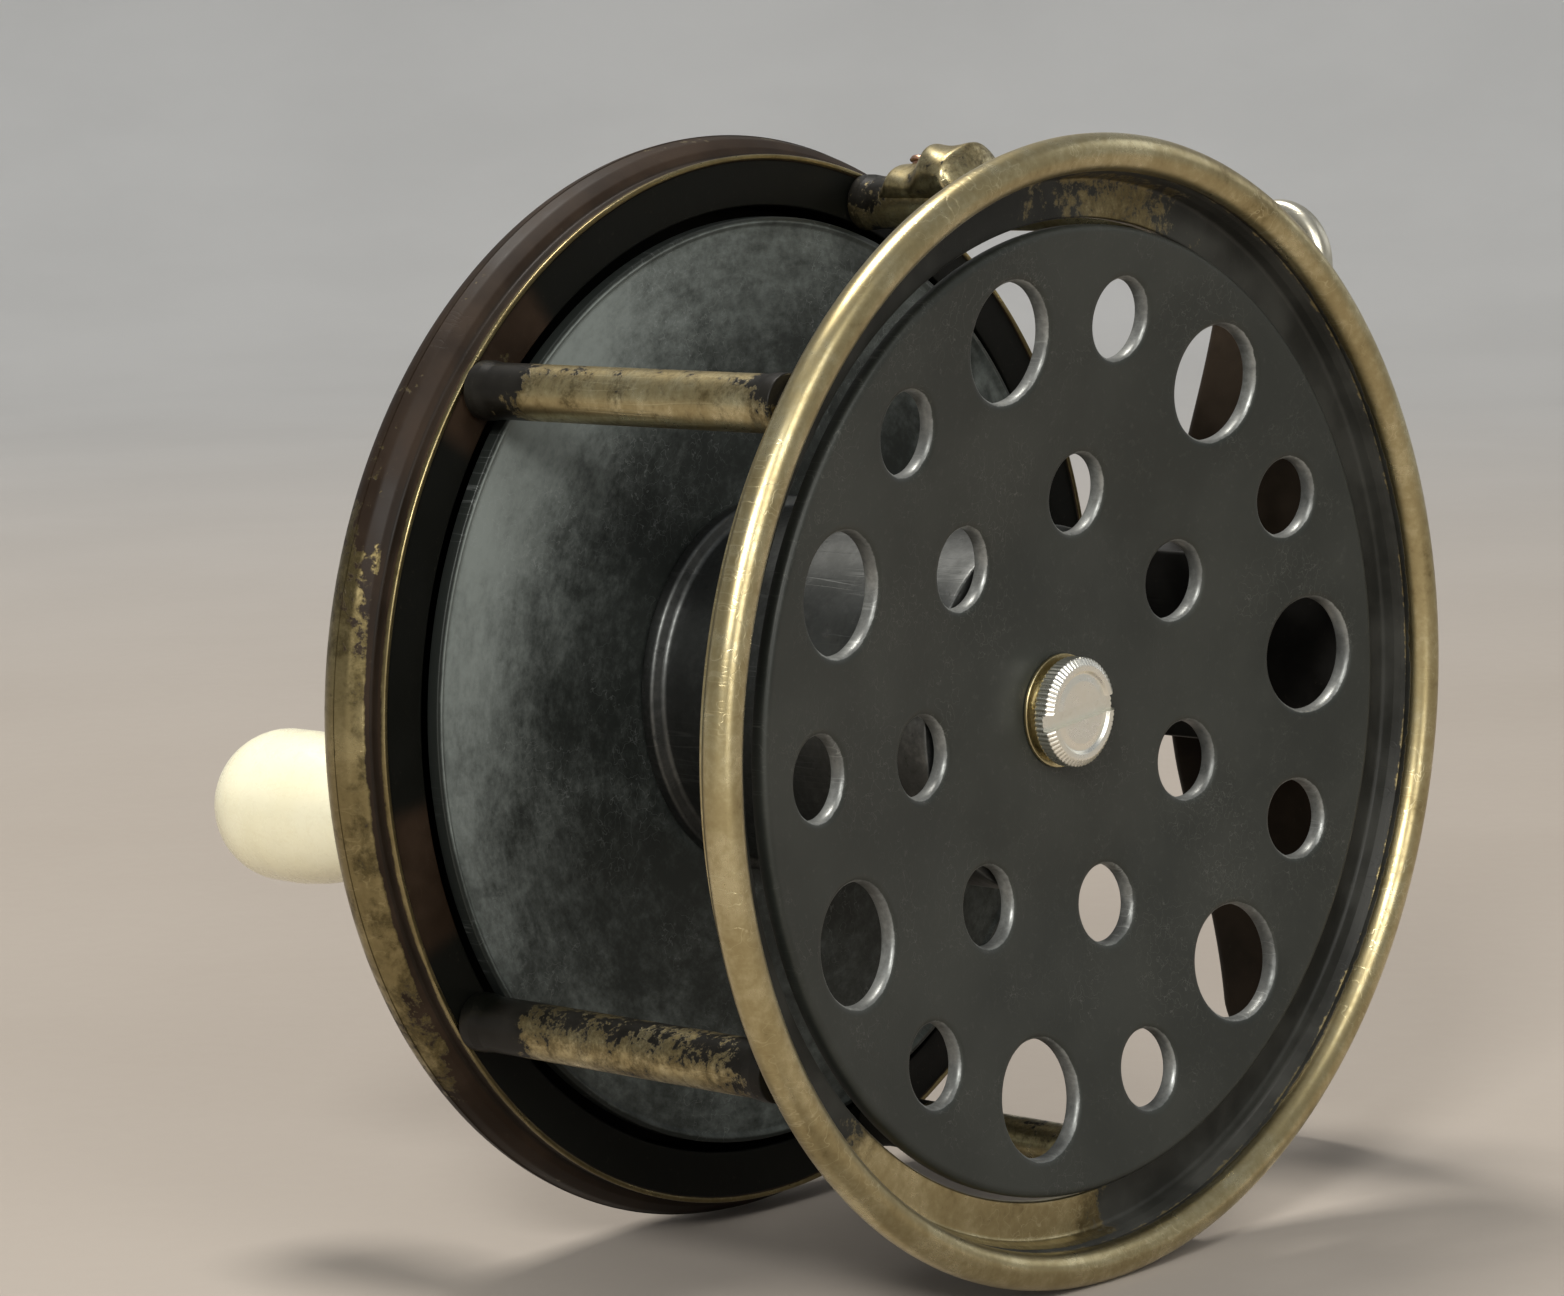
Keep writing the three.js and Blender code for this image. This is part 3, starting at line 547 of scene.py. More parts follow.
BRASS = {"deep": (0.19, 0.145, 0.065), "middle": (0.40, 0.33, 0.175), "bright": (0.66, 0.59, 0.37)}
DULL_BRASS = {"deep": (0.10, 0.075, 0.03), "middle": (0.23, 0.185, 0.09), "bright": (0.38, 0.32, 0.17)}
NICKEL = {"deep": (0.34, 0.31, 0.22), "middle": (0.58, 0.55, 0.45), "bright": (0.78, 0.75, 0.65)}
# painted light: a brightened copy of the nickel tones, used for the nut
LIT_NICKEL = {"deep": (0.74, 0.71, 0.60), "middle": (0.92, 0.90, 0.80), "bright": (0.98, 0.97, 0.90)}
ALLOY = {"deep": (0.07, 0.074, 0.07), "middle": (0.16, 0.165, 0.158), "bright": (0.34, 0.35, 0.335)}
STEEL = {"deep": (0.18, 0.175, 0.17), "middle": (0.38, 0.38, 0.38), "bright": (0.56, 0.56, 0.56)}
BRONZE = {"deep": (0.16, 0.09, 0.04), "middle": (0.34, 0.20, 0.09), "bright": (0.52, 0.34, 0.17)}
DRUM_GREY = {"deep": (0.04, 0.042, 0.04), "middle": (0.085, 0.088, 0.085), "bright": (0.19, 0.195, 0.19)}
COPPER = {"deep": (0.24, 0.12, 0.07), "middle": (0.44, 0.26, 0.18), "bright": (0.66, 0.44, 0.33)}


# painted shade: a black deeper than any paint, laid where paint values pass 1
PAINTED_SHADE_BLACK = (0.0024, 0.0026, 0.0016)


def metal(finish, tones, grain=2.2, centre=SPINDLE):
    """Colour, roughness and height of bare worn metal with turning marks and small scratches."""
    cloud = finish.noise(grain * 3, 5, 0.62, None, 0.3)
    speck = finish.noise(grain * 0.35, 4, 0.65, None, 0.9)
    mixed = finish.weighted((cloud, 0.7), (speck, 0.3))
    colour = finish.blend(finish.step(mixed, 0.28, 0.46), tones["deep"], tones["middle"])
    colour = finish.blend(finish.step(mixed, 0.44, 0.66, 0, 0.75), colour, tones["bright"])
    marks = finish.scratches(1.6, 1.0, 0.4)
    turning = finish.noise(0.16, 3, 0.7, finish.turning(centre, 6))
    colour = finish.blend(finish.times(marks, 0.6), colour, tones["bright"])
    rough = finish.step(finish.plus(mixed, finish.times(turning, 0.25)), 0.35, 0.85, 0.42, 0.24)
    height = finish.weighted((turning, 0.08), (speck, 0.3))
    height = finish.minus(height, finish.times(marks, 1.1))
    return colour, rough, height


def painted(name, tones, paint, flakes=3.0, ragged=0.55, gloss=0.28, grain=2.2, depth=0.02):
    """Paint over metal. A piece's paint values say where it is: worn through near 0, whole near 1, and
    deep black above 1, which is painted shade."""
    finish = Finish(name)
    colour, rough, height = metal(finish, tones, grain)
    large = finish.noise(flakes, 6, 0.68, None, 1.7, 0.4)
    small = finish.noise(flakes * 0.22, 4, 0.7, None, 2.3)
    torn = finish.weighted((large, 0.68), (small, 0.32))
    signal = finish.plus(finish.attribute("paint"), finish.times(finish.minus(torn, 0.5), ragged * 2.4))
    covered = finish.step(signal, 0.46, 0.54)
    tarnish = finish.step(signal, 0.22, 0.5)
    aged = tuple(0.45 * tone for tone in tones["deep"])
    colour = finish.blend(finish.times(tarnish, 0.75), colour, aged)
    cloud = finish.noise(7, 4, 0.6, None, 4.1)
    skin = finish.blend(finish.step(cloud, 0.35, 0.7), paint, tuple(1.9 * tone + 0.004 for tone in paint))
    # painted shade: paint values above 1 turn the paint to a deeper black
    deep = finish.step(finish.attribute("paint"), 0.92, 1.05)
    skin = finish.blend(deep, skin, PAINTED_SHADE_BLACK)
    dust = finish.step(finish.noise(0.5, 3, 0.7, None, 5.2), 0.63, 0.74)
    skin = finish.blend(finish.times(dust, 0.06), skin, (0.22, 0.19, 0.14))
    paint_rough = finish.step(cloud, 0.3, 0.75, gloss, gloss + 0.16)
    finish.set(
        Base_Color=finish.blend(covered, colour, skin),
        Metallic=finish.minus(1.0, covered),
        Roughness=finish.between(covered, finish.plus(rough, finish.times(tarnish, 0.12)), paint_rough),
        Specular_IOR_Level=finish.between(covered, 0.5, 0.16),
    )
    edge = finish.bump(finish.weighted((covered, 0.8), (large, 0.2)), depth)
    finish.set(Normal=finish.bump(height, 0.006, edge))
    return finish.material


def bare(name, tones, grain=2.2, centre=SPINDLE, rougher=0.0):
    """Bare metal all over."""
    finish = Finish(name)
    colour, rough, height = metal(finish, tones, grain, centre)
    grime = finish.step(finish.noise(1.4, 5, 0.7, None, 3.3), 0.58, 0.72)
    colour = finish.blend(finish.times(grime, 0.5), colour, tuple(0.4 * tone for tone in tones["deep"]))
    finish.set(
        Base_Color=colour,
        Metallic=1.0,
        Roughness=finish.plus(finish.plus(rough, rougher), finish.times(grime, 0.2)),
    )
    finish.set(Normal=finish.bump(height, 0.008))
    return finish.material


def dark_satin():
    """The perforated plate: a dark satin finish, rubbed bright in its holes and along its rim."""
    finish = Finish("dark_satin")
    colour, rough, height = metal(finish, ALLOY, 1.5)
    cloud = finish.noise(14, 4, 0.55, None, 2.2)
    fine = finish.noise(0.7, 4, 0.7, None, 7.5)
    skin = finish.blend(finish.step(cloud, 0.35, 0.68), (0.023, 0.026, 0.022), (0.037, 0.040, 0.034))
    skin = finish.blend(finish.step(fine, 0.55, 0.8, 0, 0.35), skin, (0.085, 0.085, 0.075))
    marks = finish.scratches(1.1, 0.8, 2.6)
    skin = finish.blend(finish.times(marks, 0.35), skin, (0.16, 0.16, 0.145))
    torn = finish.noise(1.1, 5, 0.7, None, 8.8)
    signal = finish.plus(finish.attribute("paint"), finish.times(finish.minus(torn, 0.5), 0.9))
    covered = finish.step(signal, 0.3, 0.62)
    turning = finish.noise(0.22, 3, 0.7, finish.turning(SPINDLE, 8))
    finish.set(
        Base_Color=finish.blend(covered, colour, skin),
        Metallic=finish.between(covered, 0.6, 0.35),
        Roughness=finish.between(
            covered, finish.plus(rough, 0.10), finish.step(cloud, 0.3, 0.75, 0.40, 0.52)
        ),
    )
    surface = finish.weighted((fine, 0.4), (turning, 0.3))
    surface = finish.minus(surface, finish.times(marks, 0.4))
    finish.set(Normal=finish.bump(surface, 0.007, finish.bump(height, 0.004)))
    return finish.material


def chalky_alloy_with_painted_light():
    """The solid spool plate: dark metal under a mottled chalky bloom, laid thickest near the rim and on the
    upper left as painted light, and thin in the middle as painted shade.
    """
    finish = Finish("chalky_alloy_with_painted_light")
    bloom_and_painted_light_place = finish.attribute("paint")
    cloud = finish.noise(7, 5, 0.6, None, 1.2, 0.3)
    speck = finish.noise(0.9, 5, 0.75, None, 6.1)
    turning = finish.noise(1.1, 4, 0.75, finish.turning(SPINDLE, 12))
    torn = finish.weighted((cloud, 0.40), (speck, 0.30), (turning, 0.30))
    # painted light: the pale bloom grows with the paint values, which place it near the rim and on the upper
    # left
    bloom = finish.step(finish.plus(torn, finish.times(bloom_and_painted_light_place, 0.34)), 0.44, 0.98)
    marks = finish.scratches(1.3, 0.9, 5.5)
    colour = finish.blend(bloom, (0.024, 0.028, 0.025), (0.21, 0.235, 0.22))
    colour = finish.blend(finish.times(marks, 0.3), colour, (0.32, 0.34, 0.33))
    finish.set(
        Base_Color=colour,
        Metallic=finish.between(bloom, 0.5, 0.1),
        Roughness=finish.between(bloom, 0.46, 0.8),
    )
    height = finish.weighted((speck, 0.5), (turning, 0.3))
    finish.set(Normal=finish.bump(height, 0.012))
    return finish.material


def ivorine():
    """Cream knob, polished, with faint clouds and hairlines."""
    finish = Finish("ivorine")
    cloud = finish.noise(6, 4, 0.55, None, 1.1)
    vein = finish.noise(3.2, 6, 0.6, finish.scaled(finish.place, (1, 0.25, 1)), 2.9, 1.2)
    colour = finish.blend(finish.step(cloud, 0.35, 0.7), (0.92, 0.87, 0.62), (0.94, 0.90, 0.67))
    line = finish.step(finish.math("ABSOLUTE", finish.minus(vein, 0.5)), 0.0, 0.012, 1, 0)
    colour = finish.blend(finish.times(line, 0.12), colour, (0.66, 0.55, 0.32))
    rubbed = finish.noise(1.2, 4, 0.7, None, 4.4)
    finish.set(
        Base_Color=colour,
        Roughness=finish.step(rubbed, 0.35, 0.75, 0.24, 0.38),
        Coat_Weight=0.25,
        Coat_Roughness=0.15,
        Normal=finish.bump(rubbed, 0.0004),
    )
    return finish.material


PAINT = (0.0050, 0.0044, 0.0032)
RING_FINISH = painted("ring_brass_and_paint", BRASS, (0.0170, 0.0170, 0.0145), 2.6, 0.42, 0.36)
PILLAR_FINISH = painted("pillar_brass_and_paint", BRASS, PAINT, 2.2, 0.62, 0.32, 1.4)
RIM_FINISH = painted("rim_paint_over_brass", DULL_BRASS, (0.0130, 0.0070, 0.0032), 3.2, 0.62, 0.46)
BLACK_FINISH = painted("black_paint_over_brass", BRASS, (0.0065, 0.0060, 0.0052), 3.4, 0.40, 0.34)
# the nut: nickel brightened as painted light, with its slot's floor painted dark as painted shade
NUT_FINISH = painted("nickel_with_painted_slot_shade", LIT_NICKEL, (0.05, 0.042, 0.03), 1.6, 0.30, 0.5, 1.2)
# the brown paint on the foot's underside is painted shade
FOOT_FINISH = painted("nickel_with_painted_shade_underside", NICKEL, (0.018, 0.012, 0.007), 2.4, 0.30, 0.45)
BRASS_FINISH = bare("worn_brass", BRASS, 1.2)
NICKEL_FINISH = bare("worn_nickel", NICKEL, 1.2)
STEEL_FINISH = bare("turned_steel", STEEL, 1.0)
BRONZE_FINISH = bare("turned_bronze", BRONZE, 1.0)
COPPER_FINISH = bare("copper", COPPER, 0.8)
SATIN_FINISH = dark_satin()
CHALK_FINISH = chalky_alloy_with_painted_light()
CORE_FINISH = bare("grey_drum", DRUM_GREY, 2.0, SPINDLE, 0.1)
IVORY_FINISH = ivorine()

# ---------------------------------------------------------------- frame pieces


def front_ring():
    bead = (RIM - BEAD, FRONT_Y + BEAD)
    foot_radius = RIM - 2 * BEAD
    groove_y = -16.9, -17.5
    profile = rounded([
        (FRONT_OPENING, FRONT_BACK_Y, 0.15),
        (RING_EDGE - 0.5, FRONT_BACK_Y, 0.15),
        (RING_EDGE, FRONT_BACK_Y - 0.45, 0.2),
        (RING_EDGE, FRONT_BACK_Y - 1.0, 0.15),
        (RING_EDGE - 0.3, FRONT_BACK_Y - 1.25, 0.1),
        (RING_EDGE - 0.3, FRONT_BACK_Y - 1.9, 0.2),
        *arc(bead, BEAD, 117, -206, 30),
        (foot_radius - 0.05, FRONT_LEDGE_Y - 1.55, 0.15),
        (foot_radius - 0.3, FRONT_LEDGE_Y - 1.0, 0.2),
        (foot_radius - 0.5, FRONT_LEDGE_Y, 0.35),
        (FRONT_OPENING, FRONT_LEDGE_Y, 0.18),
    ])
    piece = turned_piece("front_ring", divided(profile, 0.45), "frame", "worn_brass", RING_FINISH, SIDES)

    def rule(radius, y, angle):
        """Bare on the bead, painted on the ledge, and worn there where a hand rubs it."""
        if radius < foot_radius - 0.02 and y > FRONT_LEDGE_Y - 1.5:
            worn = near(angle, 250, 36) * 1.3 + near(angle, 84, 38) * 0.42 + near(angle, 30, 40) * 0.12
            return 0.88 - worn
        if y > FRONT_LEDGE_Y - 1.3 and radius > RING_EDGE - 0.6:
            in_groove = smooth(RING_EDGE - 0.1, RING_EDGE - 0.25, radius) * smooth(*groove_y, y)
            # paint stays in the groove; at its full value it is darkened part way to the painted-shade black
            return 0.15 + 0.85 * in_groove
        inner_edge = smooth(foot_radius + 0.4, foot_radius, radius) * smooth(bead[1] - 0.5, bead[1] + 0.4, y)
        outer_edge = smooth(bead[1] + 0.75, bead[1] + 1.3, y) * smooth(bead[0] - 0.8, bead[0], radius)
        return 0.04 + 0.66 * inner_edge + 0.7 * outer_edge

    coat(piece, rule)


def countersink(centre):
    """A hole for a countersunk screw in the back plate."""
    face = BACK_FACE_Y
    return turned_mesh([
        (0, BACK_LEDGE_Y - 1), (1.3, BACK_LEDGE_Y - 1), (1.3, face - 1.55), (SINK, face - 0.08),
        (2.7, face + 1), (0, face + 1),
    ], 48, centre)


def back_plate():
    rim = BACK_RIM
    lip = 42.15
    profile = rounded([
        (BACK_OPENING, BACK_LEDGE_Y, 0.15),
        (lip - 0.2, BACK_LEDGE_Y, 0.1),
        (lip, LIP_Y, 0.1),
        (lip + 0.35, LIP_Y, 0.12),
        (lip + 0.25, BACK_LEDGE_Y + 0.6, 0.2),
        (lip + 0.15, BACK_LEDGE_Y + 1.35, 0.25),
        (lip + 0.85, BACK_LEDGE_Y + 1.7, 0.5),
        (rim - 0.3, BACK_LEDGE_Y + 2.7, 1.0),
        (rim, BACK_LEDGE_Y + 3.9, 1.5),
        *arc((rim - 2.5, BACK_FACE_Y - 2.5), 2.5, 0, 90, 12),
        (4.15, BACK_FACE_Y, 0.15),
        (4.15, WEB_INNER_Y, 0.15),
        (BACK_OPENING, WEB_INNER_Y, 0.4),
    ])
    mesh = turned_mesh(divided(profile, 0.7), SIDES)
    through = WEB_INNER_Y - 1, BACK_FACE_Y + 1
    studs = [rod_mesh(1.15, through, middle(node), 32) for node in STUDS]
    mesh = cut(mesh, [countersink(middle(screw)) for screw in BACK_SCREWS] + studs)
    piece = finish_mesh("back_plate", mesh, "frame", "black_paint", RIM_FINISH)

    def rule(radius, y, angle):
        """Black paint darkened by painted shade to a deep black inside the lip; bare on the lip, and thinning
        paint on the rim.
        """
        if radius < lip - 0.05 and y < BACK_LEDGE_Y + 0.4:
            # the painted shade is lifted at the upper left and, less, on the left
            return 1.1 - near(angle, 138, 14) * 0.5 - near(angle, 196, 12) * 0.4
        if radius < lip - 0.05:
            return 1.1
        if y < BACK_LEDGE_Y + 0.25:
            return 0.12
        if y < BACK_LEDGE_Y + 1.7 and radius < lip + 0.65:
            # paint in the groove, darkened part way to the painted-shade black
            return 0.98
        band = 0.80 - near(angle, 186, 44) * 0.52 - near(angle, 215, 22) * 0.12 - near(angle, 70, 50) * 0.1
        crown = smooth(43.4, 43.9, radius) * 0.10
        return band - crown - 0.18 * smooth(0.6, 0, abs(y - (BACK_FACE_Y - 0.7)))

    coat(piece, rule)


def pillars():
    front, back = FRONT_BACK_Y + 0.1, LIP_Y - 0.1
    collar, shaft = 2.28, 2.15
    for node in PILLARS:
        centre = middle(node)
        profile = rounded([
            (0, FRONT_BACK_Y - 0.5),
            (1.25, FRONT_BACK_Y - 0.5),
            (1.25, front),
            (collar, front, 0.12),
            (collar, front + 1.0, 0.3),
            (shaft, front + 1.9, 0.8),
            (shaft, back - 1.9, 0.8),
            (collar, back - 1.0, 0.3),
            (collar, back, 0.12),
            (1.3, back, 0.1),
            (1.3, back - 5.8),
            (0, back - 5.8),
        ])
        profile = divided(profile, 0.6)
        piece = turned_piece(node, profile, "frame", "worn_brass", PILLAR_FINISH, SMALL_SIDES, centre)
        far_paint = 0.25 if node == "pillar_top" else 0.5
        base = 0.54 if node == "pillar_left_lower" else 0.40

        def rule(radius, y, angle, low=front, high=back, far_paint=far_paint, base=base):
            # where the paint value passes 1 at a far end, as on the lower left pillar, it takes the
            # painted-shade black
            ends = smooth(low + 4, low, y) * 0.3 + smooth(high - 8, high - 2, y) * far_paint
            # painted highlight: thinner paint, so more bright brass, on the side at 215 degrees
            painted_light_side = near(angle, 215, 90) * 0.2
            return base + ends - painted_light_side

        coat(piece, rule, centre)


def screw_profile(head, shank, top, depth, length):
    """A countersunk screw whose head ends at top."""
    return [
        (0, top - length),
        (shank - 0.25, top - length, 0.1),
        (shank, top - length + 0.3, 0.1),
        (shank, top - depth, 0.05),
        (head, top - 0.12, 0.06),
        (head - 0.08, top, 0.08),
        (0, top + 0.02),
    ]


def back_screws():
    for number, node in enumerate(BACK_SCREWS):
        centre = middle(node)
        top = BACK_FACE_Y - 0.04
        profile = rounded(screw_profile(2.4, 1.1, top, 1.45, 6.8))
        mesh = turned_mesh(profile, SMALL_SIDES, centre)
        slot = block_mesh((-4, 4), (top - 0.6, top + 1), (-0.3, 0.3), centre, 37 + 71 * number)
        mesh = cut(mesh, [slot])
        finish_mesh(node, mesh, "frame", "worn_brass", BRASS_FINISH)


def reach_of_lug():
    """How far the line guide's hump stands from the top pillar's axis."""
    centre = middle("pillar_top")
    outward = Vector((centre[0] - SPINDLE[0], centre[1] - SPINDLE[1])).normalized()
    reach = 0
    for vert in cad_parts["line_guide_lug"].data.vertices:
        reach = max(reach, (vert.co.x - centre[0]) * outward.x + (vert.co.z - centre[1]) * outward.y)
    return reach / MM


def line_guide():
    """A stub of sheet brass wrapped over the top pillar, with a hump, and its copper rivet."""
    centre = middle("pillar_top")
    outward = math.atan2(centre[1] - SPINDLE[1], centre[0] - SPINDLE[0])
    low, high = faces_y("line_guide_lug")
    seat = 2.24
    tall = reach_of_lug() - seat
    half_turn = math.radians(96)
    rows, columns = 44, 48
    points, faces = [], []

    def thickness(share):
        hump = smooth(0.0, 0.16, share) * smooth(0.66, 0.42, share)
        strip = smooth(0.0, 0.10, share) * smooth(1.0, 0.90, share)
        return 0.9 * strip + (tall - 0.9) * hump

    for face in (0, 1):
        for row in range(rows + 1):
            share = row / rows
            for column in range(columns + 1):
                turn = (2 * column / columns - 1) * half_turn
                edge = math.sqrt(max(0, 1 - abs(turn / half_turn) ** 6))
                lump = 1 + 0.10 * math.sin(5 * turn + 9 * share) * math.sin(math.pi * share)
                radius = seat + face * thickness(share) * edge * lump
                angle = outward + turn
                x = centre[0] + radius * MM * math.cos(angle)
                z = centre[1] + radius * MM * math.sin(angle)
                points.append((x, (low + (high - low) * share) * MM, z))
    width = columns + 1
    size = (rows + 1) * width
    for row in range(rows):
        for column in range(columns):
            a = row * width + column
            quad = (a, a + 1, a + 1 + width, a + width)
            faces += [quad, tuple(i + size for i in reversed(quad))]
    for row in range(rows):
        for a, b in ((row * width, (row + 1) * width), (row * width + columns, (row + 1) * width + columns)):
            faces.append((a, b, b + size, a + size))
    for column in range(columns):
        for a in (column, rows * width + column):
            faces.append((a, a + 1, a + 1 + size, a + size))
    mesh = mesh_from(points, faces)
    piece = finish_mesh("line_guide_lug", mesh, "frame", "worn_brass", PILLAR_FINISH)
    coat(piece, lambda radius, y, angle: 0.36, centre)

    start, end = faces_y("line_guide_rivet")
    rivet_y = (start + end) / 2
    head = 3.35
    profile = rounded([
        (0, 2.3), (0.8, 2.3), (0.8, head), (1.12, head, 0.1), (0.95, head + 0.45, 0.3), (0, head + 0.62),
    ])
    along = Vector((math.cos(outward), 0, math.sin(outward)))
    across = Vector((-math.sin(outward), 0, math.cos(outward)))
    mesh = turned_mesh(profile, 48, (0, 0))
    origin = Vector((centre[0], rivet_y * MM, centre[1]))
    for vert in mesh.vertices:
        u, height, v = vert.co
        vert.co = origin + along * height + across * u + Vector((0, v, 0))
    face_outward(mesh)
    finish_mesh("line_guide_rivet", mesh, "frame", "copper", COPPER_FINISH)


# ---------------------------------------------------------------- foot


def foot():
    """The blade that lies on the rod: flat outside, thinner towards its round ends. (u, v) is (Y, Z)."""
    low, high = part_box("foot")
    half, saddle = high.z / MM, high.y / MM
    thick = -low.x / MM
    tip = 5.5
    tip_centre = half - tip
    outline = []
    for side in (-1, 1):
        start = 0 if side < 0 else math.pi
        turns = [start + math.pi * i / 30 for i in range(30)]
        outline += [(tip * math.cos(a), -side * tip_centre + tip * math.sin(a)) for a in turns]
        waist, hip = side * saddle, side * (tip + 1)
        below, above = (side * tip, -side * tip_centre), (side * tip, side * tip_centre)
        outline += bezier(below, (hip, -side * 20), (waist, -side * 14), (waist, 0), 40)
        outline += bezier((waist, 0), (waist, side * 14), (hip, side * 20), above, 40)

    def inner(u, v):
        return thick - (thick - 1.6) * min(1, max(0, (abs(v) - 12) / (half - 12)))

    sinks = [circle(SINK, 48, (0, middle(node)[1] / MM)) for node in ("foot_screw_lower", "foot_screw_upper")]
    mesh = slab_mesh(
        outline, sinks, lambda u, v: 0, inner, (0.3, 0.75), 1.3,
        lambda u, v, height: (-height * MM, u * MM, v * MM),
    )
    piece = finish_mesh("foot", mesh, "frame", "nickel", FOOT_FINISH)
    # painted shade: the foot's underside, facing into the reel, is painted dark brown; its tips stay bare
    # nickel
    attribute = piece.data.attributes.new("paint", "FLOAT", "POINT")
    values = []
    for vert in piece.data.vertices:
        shaded_underside = smooth(0.5, 1.1, -vert.co.x / MM)
        short_of_tip = smooth(31, 25, vert.co.z / MM)
        values.append(0.95 * shaded_underside * short_of_tip)
    attribute.data.foreach_set("value", values)


def foot_screws():
    for number, node in enumerate(("foot_screw_lower", "foot_screw_upper")):
        profile = rounded(screw_profile(2.4, 1.1, 0, 1.4, 8))
        mesh = turned_mesh(profile, SMALL_SIDES, (0, 0))
        mesh = cut(mesh, [block_mesh((-4, 4), (-0.6, 1), (-0.3, 0.3), (0, 0), 25 + 80 * number)])
        height = middle(node)[1]
        for vert in mesh.vertices:
            x, y, z = vert.co
            vert.co = (y - 0.1 * MM, -x, z + height)
        finish_mesh(node, mesh, "frame", "steel", STEEL_FINISH)


def foot_bridge():
    """A bar between the side plates with a pad for the foot. (u, v) is (Y, X), and its height is Z."""
    low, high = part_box("foot_bridge")
    front, back = FRONT_BACK_Y + 0.1, LIP_Y - 0.1
    inner, bar, top = low.x / MM, low.x / MM + 3.6, high.x / MM
    corners = [
        (front, inner, 0.6), (back, inner, 0.6), (back, bar, 0.6), (9.8, bar, 1.2),
        (9, top, 0.6), (-9, top, 0.6), (-9.8, bar, 1.2), (front, bar, 0.6),
    ]
    outline = divided(rounded(corners, 5), 0.7)
    mesh = slab_mesh(
        outline, [], lambda u, v: low.z / MM, lambda u, v: high.z / MM, (0.35, 0.35), 1.2,
        lambda u, v, height: (v * MM, u * MM, height * MM),
    )
    piece = finish_mesh("foot_bridge", mesh, "frame", "black_paint", BLACK_FINISH)
    coat(piece, lambda radius, y, angle: 0.86 - 0.2 * smooth(44, 47, radius))


# ---------------------------------------------------------------- spool


def dish(radius):
    """How far the perforated plate stands out beyond its flat middle."""
    beyond = radius - CONE_START
    return CONE_SLOPE * (beyond + math.sqrt(beyond * beyond + 4)) / 2


def spool_front_plate():
    edge = radius_of("spool_front_plate")
    holes = [circle(BORE, 48)]
    for hole in HOLES:
        for number in range(HOLE_COUNT):
            angle = math.radians(hole["start"] - number * 360 / HOLE_COUNT)
            centre = (hole["circle"] * math.cos(angle), hole["circle"] * math.sin(angle))
            holes.append(circle(hole["radius"], 72 if hole["radius"] > 4 else 54, centre))
    mesh = slab_mesh(
        circle(edge, SIDES), holes,
        lambda u, v: PLATE_FLAT_Y - dish(math.hypot(u, v)),
        lambda u, v: PLATE_FLAT_Y + PLATE - dish(math.hypot(u, v)),
        (0.55, 0.2), 1.4,
        lambda u, v, height: (SPINDLE[0] + u * MM, height * MM, SPINDLE[1] + v * MM),
    )
    piece = finish_mesh("spool_front_plate", mesh, "spool", "dark_alloy", SATIN_FINISH, 50)

    def rule(radius, y, angle):
        depth = y - (PLATE_FLAT_Y - dish(radius))
        if radius > edge - 0.3:
            return 0.8
        return 1.0 - 0.9 * smooth(0.03, 0.22, depth)

    coat(piece, rule)


def spool_back_plate():
    rim = radius_of("spool_back_plate")
    face = FLANGE_Y
    back = faces_y("spool_back_plate")[1]
    profile = rounded([
        (BORE, face + 0.3, 0.05),
        (rim - 0.75, face + 0.3, 0.3),
        (rim - 0.45, face + 0.02, 0.12),
        (rim, face + 0.12, 0.1),
        (rim, back, 0.2),
        (BORE, back, 0.05),
    ])
    profile = divided(profile, 1.0)
    piece = turned_piece("spool_back_plate", profile, "spool", "grey_alloy", CHALK_FINISH, SIDES)

    def rule(radius, y, angle):
        # painted shade: the rim's side, deep inside the back plate's lip, gets no bloom
        if radius > rim - 0.3:
            return -0.8
        # painted light: the bloom grows towards the rim and on the upper left, where the left window shines
        # in past the perforated plate; the middle, in its shade, stays dark
        return smooth(19, 37, radius) * (0.35 + 0.95 * near(angle, 148, 80))

    coat(piece, rule)


def spool_core():
    low, high = faces_y("spool_core")
    inner = DRUM - DRUM_WALL
    profile = rounded([
        (BORE, low, 0.1), (DRUM, low, 0.2), (DRUM, high - 1.5, 0.5), (DRUM + 1, high - 1.1, 0.4),
        (DRUM + 1, high, 0.1), (BORE, high, 0.1), (BORE, high - DRUM_WALL), (inner, high - DRUM_WALL, 0.5),
        (inner, low + DRUM_WALL, 0.5), (BORE, low + DRUM_WALL),
    ])
    turned_piece("spool_core", divided(profile, 1.0), "spool", "grey_alloy", CORE_FINISH, 144)


def spindle_parts():
    low, high = faces_y("spindle")
    profile = rounded([
        (0, low), (2.3, low, 0.1), (2.5, low + 0.3, 0.1), (2.5, high - 0.3, 0.1), (2.3, high, 0.1),
        (1.35, high, 0.05), (1.35, high - 7), (0, high - 7),
    ])
    turned_piece("spindle", profile, "spool", "steel", STEEL_FINISH)
    washers = (
        ("spindle_washer", BORE, 4.4, "worn_brass", BRASS_FINISH),
        ("thrust_washer", BORE, 6.0, "bronze", BRONZE_FINISH),
    )
    for node, bore, rim, slot, material in washers:
        washer(node, bore, rim, SPINDLE, "spool", slot, material)


def washer(node, bore, rim, centre, body, slot, material):
    low, high = faces_y(node)
    lip = (high - low) * 0.3
    profile = rounded([(bore, low, lip / 2), (rim, low, lip), (rim, high, lip), (bore, high, lip / 2)])
    turned_piece(node, profile, body, slot, material, SMALL_SIDES, centre)


